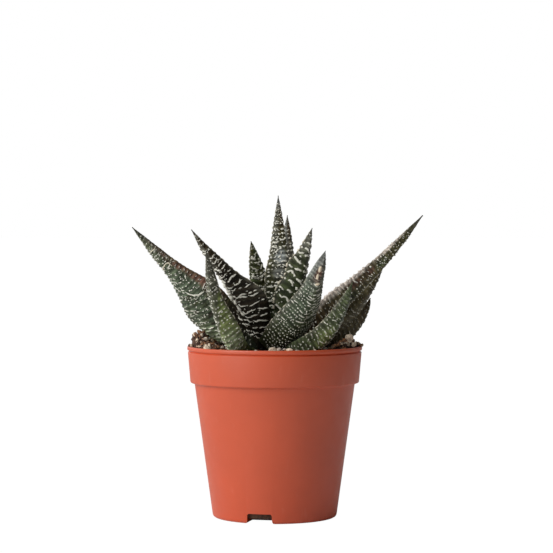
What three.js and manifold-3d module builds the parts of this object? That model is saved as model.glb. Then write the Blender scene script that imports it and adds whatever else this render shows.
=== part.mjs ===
// A potted haworthia: a rosette of keeled, warty leaves in a thin nursery pot of peat and grit.
// Millimetres, +Z up. The origin is the middle of the pot's flat underside.
// +X is to the viewer's right, and the viewer stands on the -Y side.
import * as THREE from "three";
import { mergeVertices } from "three/addons/utils/BufferGeometryUtils.js";
import Module from "manifold-3d";

const wasm = await Module();
wasm.setup();

const GAP = 0.3; // clearance between pieces that touch
const WELD = 1e-4; // vertices closer than this are one

// Pot: outer radii and heights, and one wall thickness
const POT_HEIGHT = 58.5;
const LIP_RADIUS = 30;
const LIP_HEIGHT = 1.2;
const LIP_THICKNESS = 1.1; // across the top edge
const LIP_BEVEL = 0.35;
const LIP_GROOVE = 0.5; // half the height of the groove under the lip
const COLLAR_TOP_RADIUS = 29.8;
const COLLAR_FOOT_RADIUS = 28.9;
const COLLAR_FOOT = 46;
const STEP_ROUNDING = 0.3; // at the collar's lower edge
const WALL_TOP_RADIUS = 27.5;
const WALL_FOOT_RADIUS = 21.2;
const FOOT_ROUNDING = 1.1;
const WALL = 0.9;
const FLOOR = 1.2;
const INNER_STEP = 1.4; // height of the slope inside the collar's foot
const INNER_ROUNDING = 0.6; // where the inside wall meets the floor
const POT_SEGMENTS = 52;

// Drain notches: openings in the bottom corner, through the wall and into the floor
const NOTCH_COUNT = 3;
const NOTCH_FIRST_ANGLE = 256; // degrees from +X, so that one lies just left of the front
const NOTCH_WIDTH = 8.6;
const NOTCH_HEIGHT = 3.4;
const NOTCH_DEPTH = 10;
const NOTCH_CORNER = 0.7;
const NOTCH_PASS = 4; // how far the cut runs past the wall

// Soil: a level with mounds, crumbs and grit on it
const SOIL_LEVEL = 56.6;
const SOIL_RINGS = [7.8, 12.5, 17, 20.8, 24, 26.4, 28.2];
const SOIL_SEGMENTS = 40;
const RIM_FALL = 0.5; // how far the soil dips where it meets the pot
const CRUMB_HEIGHT = 0.55;
const MOUNDS = [
  // [x, y, height, spread]
  [-25.2, -5, 6.4, 4.6],
  [-21, -12, 3.6, 5],
  [25.8, -5.5, 3.2, 4.6],
  [3, -26, 1.4, 7],
  [-10, 22, 2.4, 7],
  [17, 19, 2, 6],
  [-24, 10, 2.6, 5],
  [-18.5, 1.5, 3.4, 6],
];
const GRIT_COUNT = 22;
const GRIT_SIZES = [0.9, 1.5]; // radii
const GRIT_RING = [19.5, 27]; // distances from the pot's axis
const GRIT_LIMIT = 28.2; // no grain passes this radius
const GRIT_STRETCH = 0.3; // the most that a grain is longer than wide
const GRIT_FLATNESS = [0.75, 0.95]; // height of a grain as a share of its width
const GRIT_RISE = 0.25; // a grain's middle lies this share of its radius above the soil
const STONES = [
  // [x, y, radius, rise]: the larger stones that lie near the rim
  [25.9, -7.5, 1.8, 0.85],
  [-0.6, -26.8, 1.5, 0.25],
  [5.4, -26.4, 1.2, 0.25],
  [-22.6, -15.8, 1.3, 0.25],
];

// Stem: [radius, height] from the root tip to the crown
const STEM_PROFILE = [
  [1.1, 26],
  [2.4, 34],
  [3.6, 46],
  [4.6, 54],
  [5, 57.5],
  [4.5, 60.5],
  [3.2, 63.2],
  [1.6, 65.4],
];
const STEM_SEGMENTS = 18;
const HOLE_PASS = 10; // how far the cut of the soil's hole runs past the rim

// Leaves: points of a cross-section as shares of the half width, from margin to margin
const BACK_STATIONS = [-1, -0.66, -0.32, 0, 0.32, 0.66, 1];
const FACE_STATIONS = [0.52, 0, -0.52];
const BACK_DEPTH = 0.9; // share of the thickness that lies behind the margins
const FACE_CROWN = 0.1; // share of the thickness that lies before them
const KEEL_SHARPNESS = [0.5, 0.8]; // at the root and the tip: 0 is a round back, 1 a plain wedge
const ROOT_SHARE = 0.72; // width at the root as a share of the greatest width
const SHOULDER = 0.3; // share of the length over which the root widens
const TIP_HALF_WIDTH = 0.34;
const TIP_THICKNESS = 0.64;
const TIP_FULLNESS = 0.9; // below 1 the leaf stays fuller towards the tip
const BAND_PITCH = 2.95; // distance from one band of tubercles to the next
const BAND_HEIGHT = 0.42;
const BAND_RANGE = [0.12, 0.24]; // shares of the length over which the bands rise from the smooth root
const LOW_BEAD = 0.45; // every other bead of a band is this much lower
const NARROW = 2.5; // the bands shrink where the half width is less than this
const MARGIN_FALL = 0.8; // how much less a bead stands out backward near the margins
const MITRE = 1.6; // a swollen body's sharp margins move out this much further than its faces
const PLAIN_BANDS = 8; // rows of a leaf body without tubercles
const CLEARANCE = GAP + BAND_HEIGHT; // kept round a leaf's plain body

// root, bend and tip are the three points of the midline's curve. faces is the direction, in
// degrees from +X, that the upper face looks; a larger taper keeps the leaf broad for longer.
// bulges: [margin, rise, middle, spread]: how far the margin, -1 or 1, stands out (below 0, draws
// in), where along the leaf, and over what share of its length.
const LEAVES = [
  // the innermost leaves first: each later leaf gives way to the earlier ones
  { name: "leaf_centre_tall", root: [1.2, 1.6, 64.6], bend: [1.6, 3, 86], tip: [1.2, 4, 110.1],
    width: 9.8, thickness: 4.4, taper: 1.56, faces: 275, bulges: [[-1, 0.9, 0.4, 0.1]] },
  { name: "leaf_centre_right", root: [2.4, -0.8, 63.4], bend: [6.9, -5, 80.5], tip: [12.8, -2.5, 98.9],
    width: 10.9, thickness: 4.2, taper: 1.85, faces: 118,
    bulges: [[-1, -0.5, 0.6, 0.25], [1, 1.9, 0.38, 0.14], [1, 1.6, 0.64, 0.085]] },
  { name: "leaf_centre_behind", root: [1.6, 3.8, 63], bend: [4, 11, 80], tip: [4.4, 15, 103.4],
    width: 9.4, thickness: 4, taper: 1.9, faces: 268 },
  { name: "leaf_centre_left", root: [-2.4, 1.8, 63], bend: [-4.8, 5, 78], tip: [-8.2, 6, 94.4],
    width: 10.2, thickness: 3.8, taper: 2.1, faces: 300, bulges: [[-1, -0.5, 0.4, 0.2]] },
  { name: "leaf_front_right", root: [-0.6, -4.8, 60], bend: [10.2, -20, 69.6], tip: [16.9, -20, 91.3],
    width: 16.2, thickness: 5.2, taper: 1.95, faces: 120,
    bulges: [[-1, -0.6, 0.76, 0.15], [1, -1, 0.64, 0.15]] },
  { name: "leaf_left_upper", root: [-3.8, -2.6, 60], bend: [-9.3, -9, 74.4], tip: [-27.9, -16, 98.4],
    width: 12.8, thickness: 5, taper: 1.18, faces: 70,
    bulges: [[-1, 3.6, 0.35, 0.17], [-1, -0.4, 0.85, 0.1], [1, -1.3, 0.48, 0.2], [1, 0.4, 0.86, 0.1]] },
  { name: "leaf_right_long", root: [4.6, -0.4, 61.4], bend: [26, -3, 75], tip: [50.4, -4, 103.3],
    width: 13.2, thickness: 4.4, taper: 1.5, faces: 154, bulges: [[1, 1.5, 0.36, 0.15]] },
  { name: "leaf_back_upper", root: [0, 5.4, 60.6], bend: [1, 19, 68], tip: [2.9, 28, 91.1],
    width: 12.4, thickness: 5, taper: 1.8, faces: 265 },
  { name: "leaf_front_left", root: [-9.2, -8, 57.2], bend: [-15.8, -19, 58], tip: [-22.7, -24, 91.4],
    width: 8.6, thickness: 5, taper: 1.7, faces: 60,
    bulges: [[-1, -0.7, 0.62, 0.14], [-1, 0.8, 0.36, 0.14], [1, 0.9, 0.72, 0.2]] },
  { name: "leaf_front_low", root: [5.6, -6.2, 57.6], bend: [17.8, -19, 59.6], tip: [25.8, -22, 80.8],
    width: 12, thickness: 4.6, taper: 1.7, faces: 130 },
  { name: "leaf_left_long", root: [-7.4, -1, 58], bend: [-16.5, -5, 64.9], tip: [-48.3, -8, 99.2],
    width: 16, thickness: 6, taper: 1.18, faces: 58,
    bulges: [[-1, 2.8, 0.42, 0.17], [1, 2.9, 0.38, 0.13], [1, -0.5, 0.67, 0.08]] },
  { name: "leaf_right_under", root: [7, 2.8, 58.2], bend: [28.3, 5.4, 70], tip: [37.9, 6.2, 87.2],
    width: 13.2, thickness: 4.8, taper: 2, faces: 126, bulges: [[-1, -0.9, 0.74, 0.14]] },
  { name: "leaf_back_left", root: [-4, 4.8, 59.4], bend: [-7.6, 17, 63], tip: [-14.2, 24, 81],
    width: 12, thickness: 4.8, taper: 1.7, faces: 305 },
  { name: "leaf_back_right", root: [5, 5, 59.4], bend: [11, 18, 62], tip: [13.2, 25, 78.7],
    width: 12, thickness: 4.8, taper: 1.7, faces: 245 },
  { name: "leaf_right_low", root: [8, 5.2, 57.2], bend: [25.8, 9.8, 58.2], tip: [33.2, 11, 74.6],
    width: 13, thickness: 4.2, taper: 2.2, faces: 170 },
  { name: "leaf_left_low", root: [-7.4, 3, 57.6], bend: [-20, 10.4, 60.5], tip: [-28.6, 15, 77.2],
    width: 11.4, thickness: 4.6, taper: 1.7, faces: 332 },
  { name: "leaf_right_behind", root: [6.8, 7.2, 57.2], bend: [21, 14, 61], tip: [29.6, 15, 78],
    width: 10.8, thickness: 4.4, taper: 1.7, faces: 215 },
  { name: "leaf_back_low", root: [-1.2, 8.4, 57], bend: [-3, 22.5, 59.5], tip: [-4.6, 30, 73.2],
    width: 12, thickness: 4.6, taper: 1.7, faces: 275 },
];

const LEAF_GREEN = 0x3f4a38;
const POT_TERRACOTTA = 0xb9573c;
const SOIL_BROWN = 0x4d3226;
const STEM_GREEN = 0x77804f;

function seededRandom(seed) {
  let state = seed;
  return () => {
    state = (state + 0x6d2b79f5) | 0;
    let value = Math.imul(state ^ (state >>> 15), 1 | state);
    value = (value + Math.imul(value ^ (value >>> 7), 61 | value)) ^ value;
    return ((value ^ (value >>> 14)) >>> 0) / 4294967296;
  };
}

function lerp(a, b, share) {
  return a + (b - a) * share;
}

// Eases from 0 to 1 as x goes from a to b.
function ease(a, b, x) {
  const share = Math.min(1, Math.max(0, (x - a) / (b - a)));
  return share * share * (3 - 2 * share);
}

// Turns a closed geometry into a solid: position only, shared vertices merged, no flat triangles,
// and the faces turned outward.
function solidOf(geometry) {
  const bare = new THREE.BufferGeometry();
  bare.setAttribute("position", geometry.getAttribute("position").clone());
  bare.setIndex(geometry.index ? geometry.index.clone() : null);
  const merged = mergeVertices(bare, WELD);
  const points = merged.getAttribute("position").array;
  const corners = [];
  for (let i = 0; i < merged.index.count; i += 3) {
    const [a, b, c] = [0, 1, 2].map((k) => merged.index.getX(i + k));
    if (a !== b && b !== c && c !== a) {
      corners.push(a, b, c);
    }
  }
  if (signedVolume(points, corners) < 0) {
    for (let i = 0; i < corners.length; i += 3) {
      [corners[i], corners[i + 1]] = [corners[i + 1], corners[i]];
    }
  }
  const mesh = new wasm.Mesh({
    numProp: 3,
    vertProperties: new Float32Array(points),
    triVerts: new Uint32Array(corners),
  });
  return new wasm.Manifold(mesh);
}

function signedVolume(points, corners) {
  const a = new THREE.Vector3();
  const b = new THREE.Vector3();
  const c = new THREE.Vector3();
  let sum = 0;
  for (let i = 0; i < corners.length; i += 3) {
    a.fromArray(points, corners[i] * 3);
    b.fromArray(points, corners[i + 1] * 3);
    c.fromArray(points, corners[i + 2] * 3);
    sum += a.dot(b.cross(c));
  }
  return sum / 6;
}

// The largest piece of a solid: a cut can leave loose scraps.
function largestOf(solid) {
  const pieces = solid.decompose();
  pieces.sort((p, q) => q.volume() - p.volume());
  return pieces[0];
}

function geometryOf(solid) {
  const mesh = solid.getMesh();
  const geometry = new THREE.BufferGeometry();
  geometry.setAttribute("position", new THREE.BufferAttribute(new Float32Array(mesh.vertProperties), 3));
  geometry.setIndex(new THREE.BufferAttribute(new Uint32Array(mesh.triVerts), 1));
  geometry.computeVertexNormals();
  return geometry;
}

// Points listed as [radius, height], turned about the Z axis.
function turned(profile, segments) {
  const points = profile.map(([radius, height]) => new THREE.Vector2(radius, height));
  return new THREE.LatheGeometry(points, segments).rotateX(Math.PI / 2);
}

// The inside of the pot as [radius, height] from the floor to the collar, drawn in by a clearance.
function potInside(gap = 0) {
  return [
    [WALL_FOOT_RADIUS - WALL - INNER_ROUNDING - gap, FLOOR + gap],
    [WALL_FOOT_RADIUS - WALL - gap, FLOOR + INNER_ROUNDING + gap],
    [WALL_TOP_RADIUS - WALL - gap, COLLAR_FOOT - INNER_STEP],
    [COLLAR_FOOT_RADIUS - WALL - gap, COLLAR_FOOT],
  ];
}

function potSolid() {
  const roundingPart = FOOT_ROUNDING * (1 - Math.SQRT1_2);
  const lipFoot = POT_HEIGHT - LIP_HEIGHT;
  const outer = [
    [0, 0],
    [WALL_FOOT_RADIUS - FOOT_ROUNDING, 0],
    [WALL_FOOT_RADIUS - roundingPart, roundingPart],
    [WALL_FOOT_RADIUS, FOOT_ROUNDING],
    [WALL_TOP_RADIUS, COLLAR_FOOT - 2 * STEP_ROUNDING],
    [WALL_TOP_RADIUS + STEP_ROUNDING, COLLAR_FOOT - STEP_ROUNDING],
    [COLLAR_FOOT_RADIUS - STEP_ROUNDING, COLLAR_FOOT],
    [COLLAR_FOOT_RADIUS, COLLAR_FOOT + STEP_ROUNDING],
    [COLLAR_TOP_RADIUS, lipFoot - 2 * LIP_GROOVE],
    [COLLAR_TOP_RADIUS - LIP_BEVEL, lipFoot - LIP_GROOVE],
    [LIP_RADIUS, lipFoot],
    [LIP_RADIUS, POT_HEIGHT - LIP_BEVEL],
    [LIP_RADIUS - LIP_BEVEL, POT_HEIGHT],
  ];
  const mouth = [
    [LIP_RADIUS - LIP_THICKNESS, POT_HEIGHT],
    [LIP_RADIUS - LIP_THICKNESS - LIP_BEVEL / 2, POT_HEIGHT - LIP_BEVEL],
  ];
  const inner = [...potInside().reverse(), [0, FLOOR]];
  let pot = solidOf(turned([...outer, ...mouth, ...inner], POT_SEGMENTS));
  for (let i = 0; i < NOTCH_COUNT; i += 1) {
    const angle = NOTCH_FIRST_ANGLE + (i * 360) / NOTCH_COUNT;
    pot = pot.subtract(solidOf(notchCutter(THREE.MathUtils.degToRad(angle))));
  }
  return pot;
}

// A block with two rounded upper corners, lying along the radius at the given angle.
function notchCutter(angle) {
  const half = NOTCH_WIDTH / 2;
  const outline = new THREE.Shape();
  outline.moveTo(-half, -1);
  outline.lineTo(half, -1);
  outline.lineTo(half, NOTCH_HEIGHT - NOTCH_CORNER);
  outline.quadraticCurveTo(half, NOTCH_HEIGHT, half - NOTCH_CORNER, NOTCH_HEIGHT);
  outline.lineTo(-half + NOTCH_CORNER, NOTCH_HEIGHT);
  outline.quadraticCurveTo(-half, NOTCH_HEIGHT, -half, NOTCH_HEIGHT - NOTCH_CORNER);
  outline.closePath();
  const depth = NOTCH_DEPTH + NOTCH_PASS;
  const block = new THREE.ExtrudeGeometry(outline, { depth, bevelEnabled: false, curveSegments: 3 });
  block.rotateX(Math.PI / 2).rotateZ(Math.PI / 2);
  block.translate(WALL_FOOT_RADIUS - NOTCH_DEPTH, 0, 0);
  return block.rotateZ(angle);
}

// Height of the soil's surface, without the grit.
function soilHeight(x, y) {
  let height = SOIL_LEVEL;
  for (const [mx, my, rise, spread] of MOUNDS) {
    const distance = Math.hypot(x - mx, y - my);
    height += rise * Math.exp(-((distance / spread) ** 2));
  }
  return height;
}

function soilSolid(leafBodies) {
  const random = seededRandom(71);
  const positions = [];
  const corners = [];
  const pushRing = (radius, heightAt) => {
    for (let j = 0; j < SOIL_SEGMENTS; j += 1) {
      const angle = (j / SOIL_SEGMENTS) * Math.PI * 2;
      const x = radius * Math.cos(angle);
      const y = radius * Math.sin(angle);
      positions.push(x, y, heightAt(x, y));
    }
  };
  const filled = potInside(GAP);
  filled.forEach(([radius, height]) => pushRing(radius, () => height));
  const crumb = () => (random() - 0.5) * 2 * CRUMB_HEIGHT;
  const rimward = [...SOIL_RINGS].reverse();
  rimward.forEach((radius, k) => {
    const fall = k === 0 ? RIM_FALL : 0;
    pushRing(radius, (x, y) => soilHeight(x, y) + crumb() - fall);
  });
  const rings = filled.length + rimward.length;
  for (let i = 0; i + 1 < rings; i += 1) {
    for (let j = 0; j < SOIL_SEGMENTS; j += 1) {
      const next = (j + 1) % SOIL_SEGMENTS;
      const [a, b] = [i * SOIL_SEGMENTS + j, i * SOIL_SEGMENTS + next];
      const [c, d] = [a + SOIL_SEGMENTS, b + SOIL_SEGMENTS];
      corners.push(a, b, d, a, d, c);
    }
  }
  const bottom = positions.length / 3;
  positions.push(0, 0, FLOOR + GAP);
  const top = bottom + 1;
  positions.push(0, 0, soilHeight(0, 0));
  const lastRing = (rings - 1) * SOIL_SEGMENTS;
  for (let j = 0; j < SOIL_SEGMENTS; j += 1) {
    const next = (j + 1) % SOIL_SEGMENTS;
    corners.push(bottom, next, j, top, lastRing + j, lastRing + next);
  }
  const geometry = new THREE.BufferGeometry();
  geometry.setAttribute("position", new THREE.Float32BufferAttribute(positions, 3));
  geometry.setIndex(corners);
  let soil = solidOf(geometry);
  for (const grain of gritGrains()) {
    soil = soil.add(grain);
  }
  soil = soil.subtract(stemHole());
  for (const body of leafBodies) {
    soil = soil.subtract(body);
  }
  return largestOf(soil);
}

// Angular grains and stones, half sunk in the soil near the rim.
function gritGrains() {
  const random = seededRandom(19);
  const grains = STONES.map(([x, y, radius, rise]) => grain(x, y, radius, rise, random));
  for (let i = 0; i < GRIT_COUNT; i += 1) {
    const angle = ((i + random() * 0.8) / GRIT_COUNT) * Math.PI * 2;
    const distance = lerp(...GRIT_RING, Math.sqrt(random()));
    const radius = lerp(...GRIT_SIZES, random());
    grains.push(grain(distance * Math.cos(angle), distance * Math.sin(angle), radius, GRIT_RISE, random));
  }
  return grains;
}

function grain(x, y, radius, rise, random) {
  const inward = Math.min(1, (GRIT_LIMIT - radius * (1 + GRIT_STRETCH)) / Math.hypot(x, y));
  const [px, py] = [x * inward, y * inward];
  const shape = new THREE.IcosahedronGeometry(radius, 0);
  shape.scale(1 + GRIT_STRETCH * random(), 1, lerp(...GRIT_FLATNESS, random()));
  shape.rotateX(random() * Math.PI);
  shape.rotateZ(random() * Math.PI * 2);
  shape.translate(px, py, soilHeight(px, py) + radius * rise);
  return solidOf(shape);
}

// The stem's outline, swollen by a clearance.
function stemOutline(grow) {
  const last = STEM_PROFILE.length - 1;
  return STEM_PROFILE.map(([radius, height], i) => {
    const beyond = (i === 0 ? -grow : 0) + (i === last ? grow : 0);
    return [radius + grow, height + beyond];
  });
}

function stemSolid(grow = 0) {
  const outline = stemOutline(grow);
  return solidOf(turned([[0, outline[0][1]], ...outline, [0, outline.at(-1)[1]]], STEM_SEGMENTS));
}

// The soil's plain hole: the buried part of the stem, carried straight up from its widest ring.
function stemHole() {
  const outline = stemOutline(GAP);
  const radii = outline.map(([radius]) => radius);
  const widestAt = radii.indexOf(Math.max(...radii));
  const buried = outline.slice(0, widestAt + 1);
  const above = POT_HEIGHT + HOLE_PASS;
  const mouth = [[radii[widestAt], above], [0, above]];
  return solidOf(turned([[0, buried[0][1]], ...buried, ...mouth], STEM_SEGMENTS));
}

// The midline point of a leaf at a share t of its length, with its direction, its sideways
// direction and the direction that its upper face looks.
function leafFrame(leaf, t) {
  const [root, bend, tip] = [leaf.root, leaf.bend, leaf.tip].map((p) => new THREE.Vector3(...p));
  const curve = new THREE.QuadraticBezierCurve3(root, bend, tip);
  const point = curve.getPointAt(t);
  const along = curve.getTangentAt(t);
  const angle = THREE.MathUtils.degToRad(leaf.faces);
  const looks = new THREE.Vector3(Math.cos(angle), Math.sin(angle), 0);
  const up = looks.addScaledVector(along, -looks.dot(along)).normalize();
  const side = new THREE.Vector3().crossVectors(along, up);
  return { point, along, up, side };
}

function leafLength(leaf) {
  const [root, bend, tip] = [leaf.root, leaf.bend, leaf.tip].map((p) => new THREE.Vector3(...p));
  return new THREE.QuadraticBezierCurve3(root, bend, tip).getLength();
}

// Half width and thickness of a leaf at a share t of its length.
function leafSize(leaf, t) {
  const root = lerp(ROOT_SHARE, 1, ease(0, SHOULDER, t));
  const taper = Math.max(0, 1 - t ** leaf.taper) ** TIP_FULLNESS;
  const half = Math.max(TIP_HALF_WIDTH, (leaf.width / 2) * root * taper);
  const depth = Math.max(TIP_THICKNESS, leaf.thickness * root ** 0.5 * taper ** 0.8);
  return { half, depth };
}

// How far a margin stands out at a share t of the leaf's length.
function marginBulge(leaf, s, t) {
  let out = 0;
  for (const [margin, rise, middle, spread] of leaf.bulges ?? []) {
    if (margin * s > 0) {
      out += rise * Math.exp(-(((t - middle) / spread) ** 2));
    }
  }
  return out;
}

// Closes rings of points into a leaf body. grow swells it by a clearance, and a plain body has no bands.
function leafSolid(leaf, grow = 0, plain = false) {
  const length = leafLength(leaf);
  const bands = plain ? PLAIN_BANDS : Math.round(length / BAND_PITCH);
  const rows = bands * 2;
  const sides = BACK_STATIONS.length + FACE_STATIONS.length;
  const positions = [];
  for (let i = 0; i <= rows; i += 1) {
    const t = i / rows;
    const { point, along, up, side } = leafFrame(leaf, t);
    point.addScaledVector(along, (i === 0 ? -grow : 0) + (i === rows ? grow : 0));
    const { half, depth } = leafSize(leaf, t);
    const band = plain || i % 2 === 0 ? 0 : ease(...BAND_RANGE, t) * Math.min(1, half / NARROW);
    const keel = lerp(...KEEL_SHARPNESS, t);
    for (let j = 0; j < sides; j += 1) {
      const onBack = j < BACK_STATIONS.length;
      const s = onBack ? BACK_STATIONS[j] : FACE_STATIONS[j - BACK_STATIONS.length];
      const round = 1 - s * s;
      const wedge = 1 - Math.abs(s);
      const back = -depth * lerp(round, wedge, keel) * BACK_DEPTH;
      const face = depth * FACE_CROWN * round;
      const bead = (j + (i - 1) / 2) % 2 === 0 ? 1 : LOW_BEAD;
      const rise = band * bead * BAND_HEIGHT;
      const out = grow + rise;
      const n = onBack ? back - out * Math.sqrt(1 - s * s * MARGIN_FALL) : face + out;
      const w = s * (half + marginBulge(leaf, s, t) + rise + grow * MITRE);
      positions.push(...point.clone().addScaledVector(side, w).addScaledVector(up, n).toArray());
    }
  }
  return solidOf(closedRings(positions, rows + 1, sides));
}

// Skins equal rings of points and closes both ends with a fan.
function closedRings(positions, rings, sides) {
  const corners = [];
  for (let i = 0; i + 1 < rings; i += 1) {
    for (let j = 0; j < sides; j += 1) {
      const next = (j + 1) % sides;
      const [a, b] = [i * sides + j, i * sides + next];
      const [c, d] = [a + sides, b + sides];
      corners.push(a, b, d, a, d, c);
    }
  }
  for (const [ring, flip] of [[0, true], [rings - 1, false]]) {
    const centre = new THREE.Vector3();
    const start = ring * sides;
    for (let j = 0; j < sides; j += 1) {
      centre.add(new THREE.Vector3().fromArray(positions, (start + j) * 3));
    }
    centre.divideScalar(sides);
    const hub = positions.length / 3;
    positions.push(...centre.toArray());
    for (let j = 0; j < sides; j += 1) {
      const next = (j + 1) % sides;
      const edge = flip ? [start + next, start + j] : [start + j, start + next];
      corners.push(hub, ...edge);
    }
  }
  const geometry = new THREE.BufferGeometry();
  geometry.setAttribute("position", new THREE.Float32BufferAttribute(positions, 3));
  geometry.setIndex(corners);
  return geometry;
}

function named(name, solid, colour, roughness) {
  const material = new THREE.MeshStandardMaterial({ color: colour, roughness, metalness: 0 });
  const mesh = new THREE.Mesh(geometryOf(solid), material);
  mesh.name = name;
  return mesh;
}

// Leaves in order: each is cut back where it would press on the stem or on an earlier leaf.
function rosette() {
  const clearStem = stemSolid(GAP);
  const clearLeaves = LEAVES.map((leaf) => leafSolid(leaf, CLEARANCE, true));
  return LEAVES.map((leaf, i) => {
    let solid = leafSolid(leaf).subtract(clearStem);
    for (let k = 0; k < i; k += 1) {
      solid = solid.subtract(clearLeaves[k]);
    }
    return { leaf, solid: largestOf(solid), clear: clearLeaves[i] };
  });
}

const plant = new THREE.Group();
const leaves = rosette();
plant.add(named("pot", potSolid(), POT_TERRACOTTA, 0.5));
plant.add(named("soil", soilSolid(leaves.map((entry) => entry.clear)), SOIL_BROWN, 0.95));
plant.add(named("stem", stemSolid(), STEM_GREEN, 0.7));
for (const { leaf, solid } of leaves) {
  plant.add(named(leaf.name, solid, LEAF_GREEN, 0.5));
}

export default plant;
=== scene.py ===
import math

import bmesh
import bpy
import numpy as np
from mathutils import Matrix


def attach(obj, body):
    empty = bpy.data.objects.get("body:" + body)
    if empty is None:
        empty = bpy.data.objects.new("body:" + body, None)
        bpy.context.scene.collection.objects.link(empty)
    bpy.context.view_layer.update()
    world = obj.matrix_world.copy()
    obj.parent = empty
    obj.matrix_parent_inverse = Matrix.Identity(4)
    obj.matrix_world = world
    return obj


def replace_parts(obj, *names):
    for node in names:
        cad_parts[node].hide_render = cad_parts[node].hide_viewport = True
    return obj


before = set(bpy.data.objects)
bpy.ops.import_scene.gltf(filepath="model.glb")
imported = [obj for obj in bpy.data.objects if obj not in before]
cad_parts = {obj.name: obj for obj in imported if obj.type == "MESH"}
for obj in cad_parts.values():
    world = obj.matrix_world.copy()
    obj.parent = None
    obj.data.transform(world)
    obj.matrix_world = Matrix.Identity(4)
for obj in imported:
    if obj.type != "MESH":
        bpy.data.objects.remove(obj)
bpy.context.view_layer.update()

MM = 0.001

# Camera, from the photograph: distance before the pot's axis, height, sideways place and pitch
CAMERA_DISTANCE = 700
CAMERA_HEIGHT = 97.56
CAMERA_SIDE = 0.614
CAMERA_PITCH = 0.0218  # radians
FOCAL_PIXELS = 2041.4
IMAGE_PIXELS = 553
SENSOR = 36
VIEW_END = 100  # metres

# Light: one broad softbox from the left front, a pale room, brighter behind the plant
KEY_AZIMUTH = 53  # degrees to the left of the camera
KEY_ELEVATION = 28
KEY_DISTANCE = 900
KEY_AIM = 50  # height of the point that it faces
KEY_SIZE = (620, 760)
KEY_POWER = 6.6
ROOM_FRONT = 0.24
ROOM_BACK = 0.85
ROOM_LEFT = 1.6  # the room's light at the left and the right, as a share
ROOM_RIGHT = 0.28
FRONT_TO_BACK = (-0.2, 0.7)  # the room's light changes between these parts of its direction
LEFT_TO_RIGHT = (-0.8, 0.6)
FLOOR_SIZE = 60000
FLOOR_DROP = 0.05
FLOOR_WHITE = (0.8, 0.8, 0.8)
FLOOR_GLOW = 1.03
FLOOR_GLOW_SHARE = 0.97  # how much of the floor is glow to the camera

# Colours, linear
POT_RED = (0.61, 0.086, 0.026)
POT_SCUFF = (0.66, 0.17, 0.10)
INK = (0.016, 0.012, 0.007)
DEEP = (0.024, 0.028, 0.011)
FOREST = (0.042, 0.053, 0.022)
BLUE_GREEN = (0.062, 0.080, 0.050)
MOSS = (0.098, 0.122, 0.040)
LIME = (0.158, 0.190, 0.070)
# Painted light: a pale green that lightens leaf bases lying in shade
PAINTED_LIGHT_GREEN = (0.34, 0.41, 0.24)
FERN = (0.062, 0.076, 0.036)
GREY_GREEN = (0.088, 0.094, 0.058)
GREY = (0.100, 0.096, 0.074)
RED_BROWN = (0.098, 0.050, 0.034)
BROWN = (0.050, 0.034, 0.017)
TAN = (0.088, 0.074, 0.036)
OLIVE = (0.048, 0.046, 0.016)
WHITE = (0.92, 0.90, 0.78)
CREAM = (0.88, 0.80, 0.62)
PINK_CREAM = (0.68, 0.60, 0.53)
SCAR = (0.84, 0.71, 0.52)
SHEEN_GREY = (0.165, 0.170, 0.155)
SHEEN_PALE = (0.42, 0.45, 0.44)
PEAT = (0.100, 0.048, 0.026)
PEAT_DARK = (0.026, 0.012, 0.007)
PEAT_RUST = (0.34, 0.16, 0.072)
GRIT_PALE = (0.74, 0.61, 0.46)
GRIT_GREY = (0.42, 0.37, 0.31)
STEM_BROWN = (0.030, 0.024, 0.013)
FLECK = (0.15, 0.165, 0.12)

NOISE_MIDDLE = (0.3, 0.7)  # most of a noise's values lie between these

# Pot
POT_TOP = 58.5
POT_FLOOR = 1.2
RIM_INSIDE = 28.7
WALL_FOOT_RADIUS = 21.2
POT_SEGMENTS = 168
POT_PROFILE = [
    # [radius, height, rounding], from the middle of the base up the outside and down the inside
    (0, 0, 0),
    (WALL_FOOT_RADIUS, 0, 1.1),
    (27.5, 45.85, 0.35),
    (28.9, 46.05, 0.45),
    (29.8, 56.5, 0.1),
    (29.2, 56.85, 0.2),
    (29.95, 57.25, 0.25),
    (30, POT_TOP, 0.5),
    (28.9, POT_TOP, 0.35),
    (RIM_INSIDE, 57.6, 0.3),
    (28, 46, 0.5),
    (26.6, 44.6, 0.5),
    (20.3, POT_FLOOR, 1),
    (0, POT_FLOOR, 0),
]
SHARP_ANGLE = 38  # edges that turn by more degrees than this stay sharp
NOTCH_ANGLES = (256, 16, 136)
NOTCH_HALF_WIDTH = 4.3
NOTCH_HEIGHT = 3.4
NOTCH_CORNER = 0.8
NOTCH_FLARE = 0.7  # how much wider each side is at the base
NOTCH_FLARE_HEIGHT = 1.2
NOTCH_FLARE_CURVE = 1.5
NOTCH_BELOW = -2  # where the cut starts, under the base
NOTCH_REACH = (-10, 4)  # from the wall's foot inward and outward

# Soil: the CAD's level and mounds, four of them a little changed, with finer crumb
SOIL_SEED = 41
SOIL_LEVEL = 56.6
SOIL_RADIUS = 28.45
RIM_FALL = 0.5  # how far the soil dips where it meets the pot
RIM_FALL_WIDTH = 1.6
MOUNDS = [
    # [x, y, height, spread]
    (-25.6, -5, 6.2, 4.2),
    (-22, -12, 2.6, 4.6),
    (25.4, -5.8, 4.0, 5.2),
    (3, -26, 1.4, 7),
    (-10, 22, 2.4, 7),
    (17, 19, 2, 6),
    (-24, 10, 2.6, 5),
    (-18.5, 1.5, 2.6, 6),
]
SOIL_BUMPS = [(3.1, 3, 0.5), (1.3, 4, 0.32), (0.6, 5, 0.14)]  # [size, seed, height]
RUST_PATCHES = [(2.2, 8, 0.5), (0.9, 9, 0.5)]  # [size, seed, strength]
INNER_RINGS = (0.4, 1.2)
SOIL_RINGS = 62
SOIL_SEGMENTS = 200
SOIL_BELOW = [(28.2, 52), (27.7, 46.2), (26.3, 44.4), (20, 1.8), (19.5, 1.5)]
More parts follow.
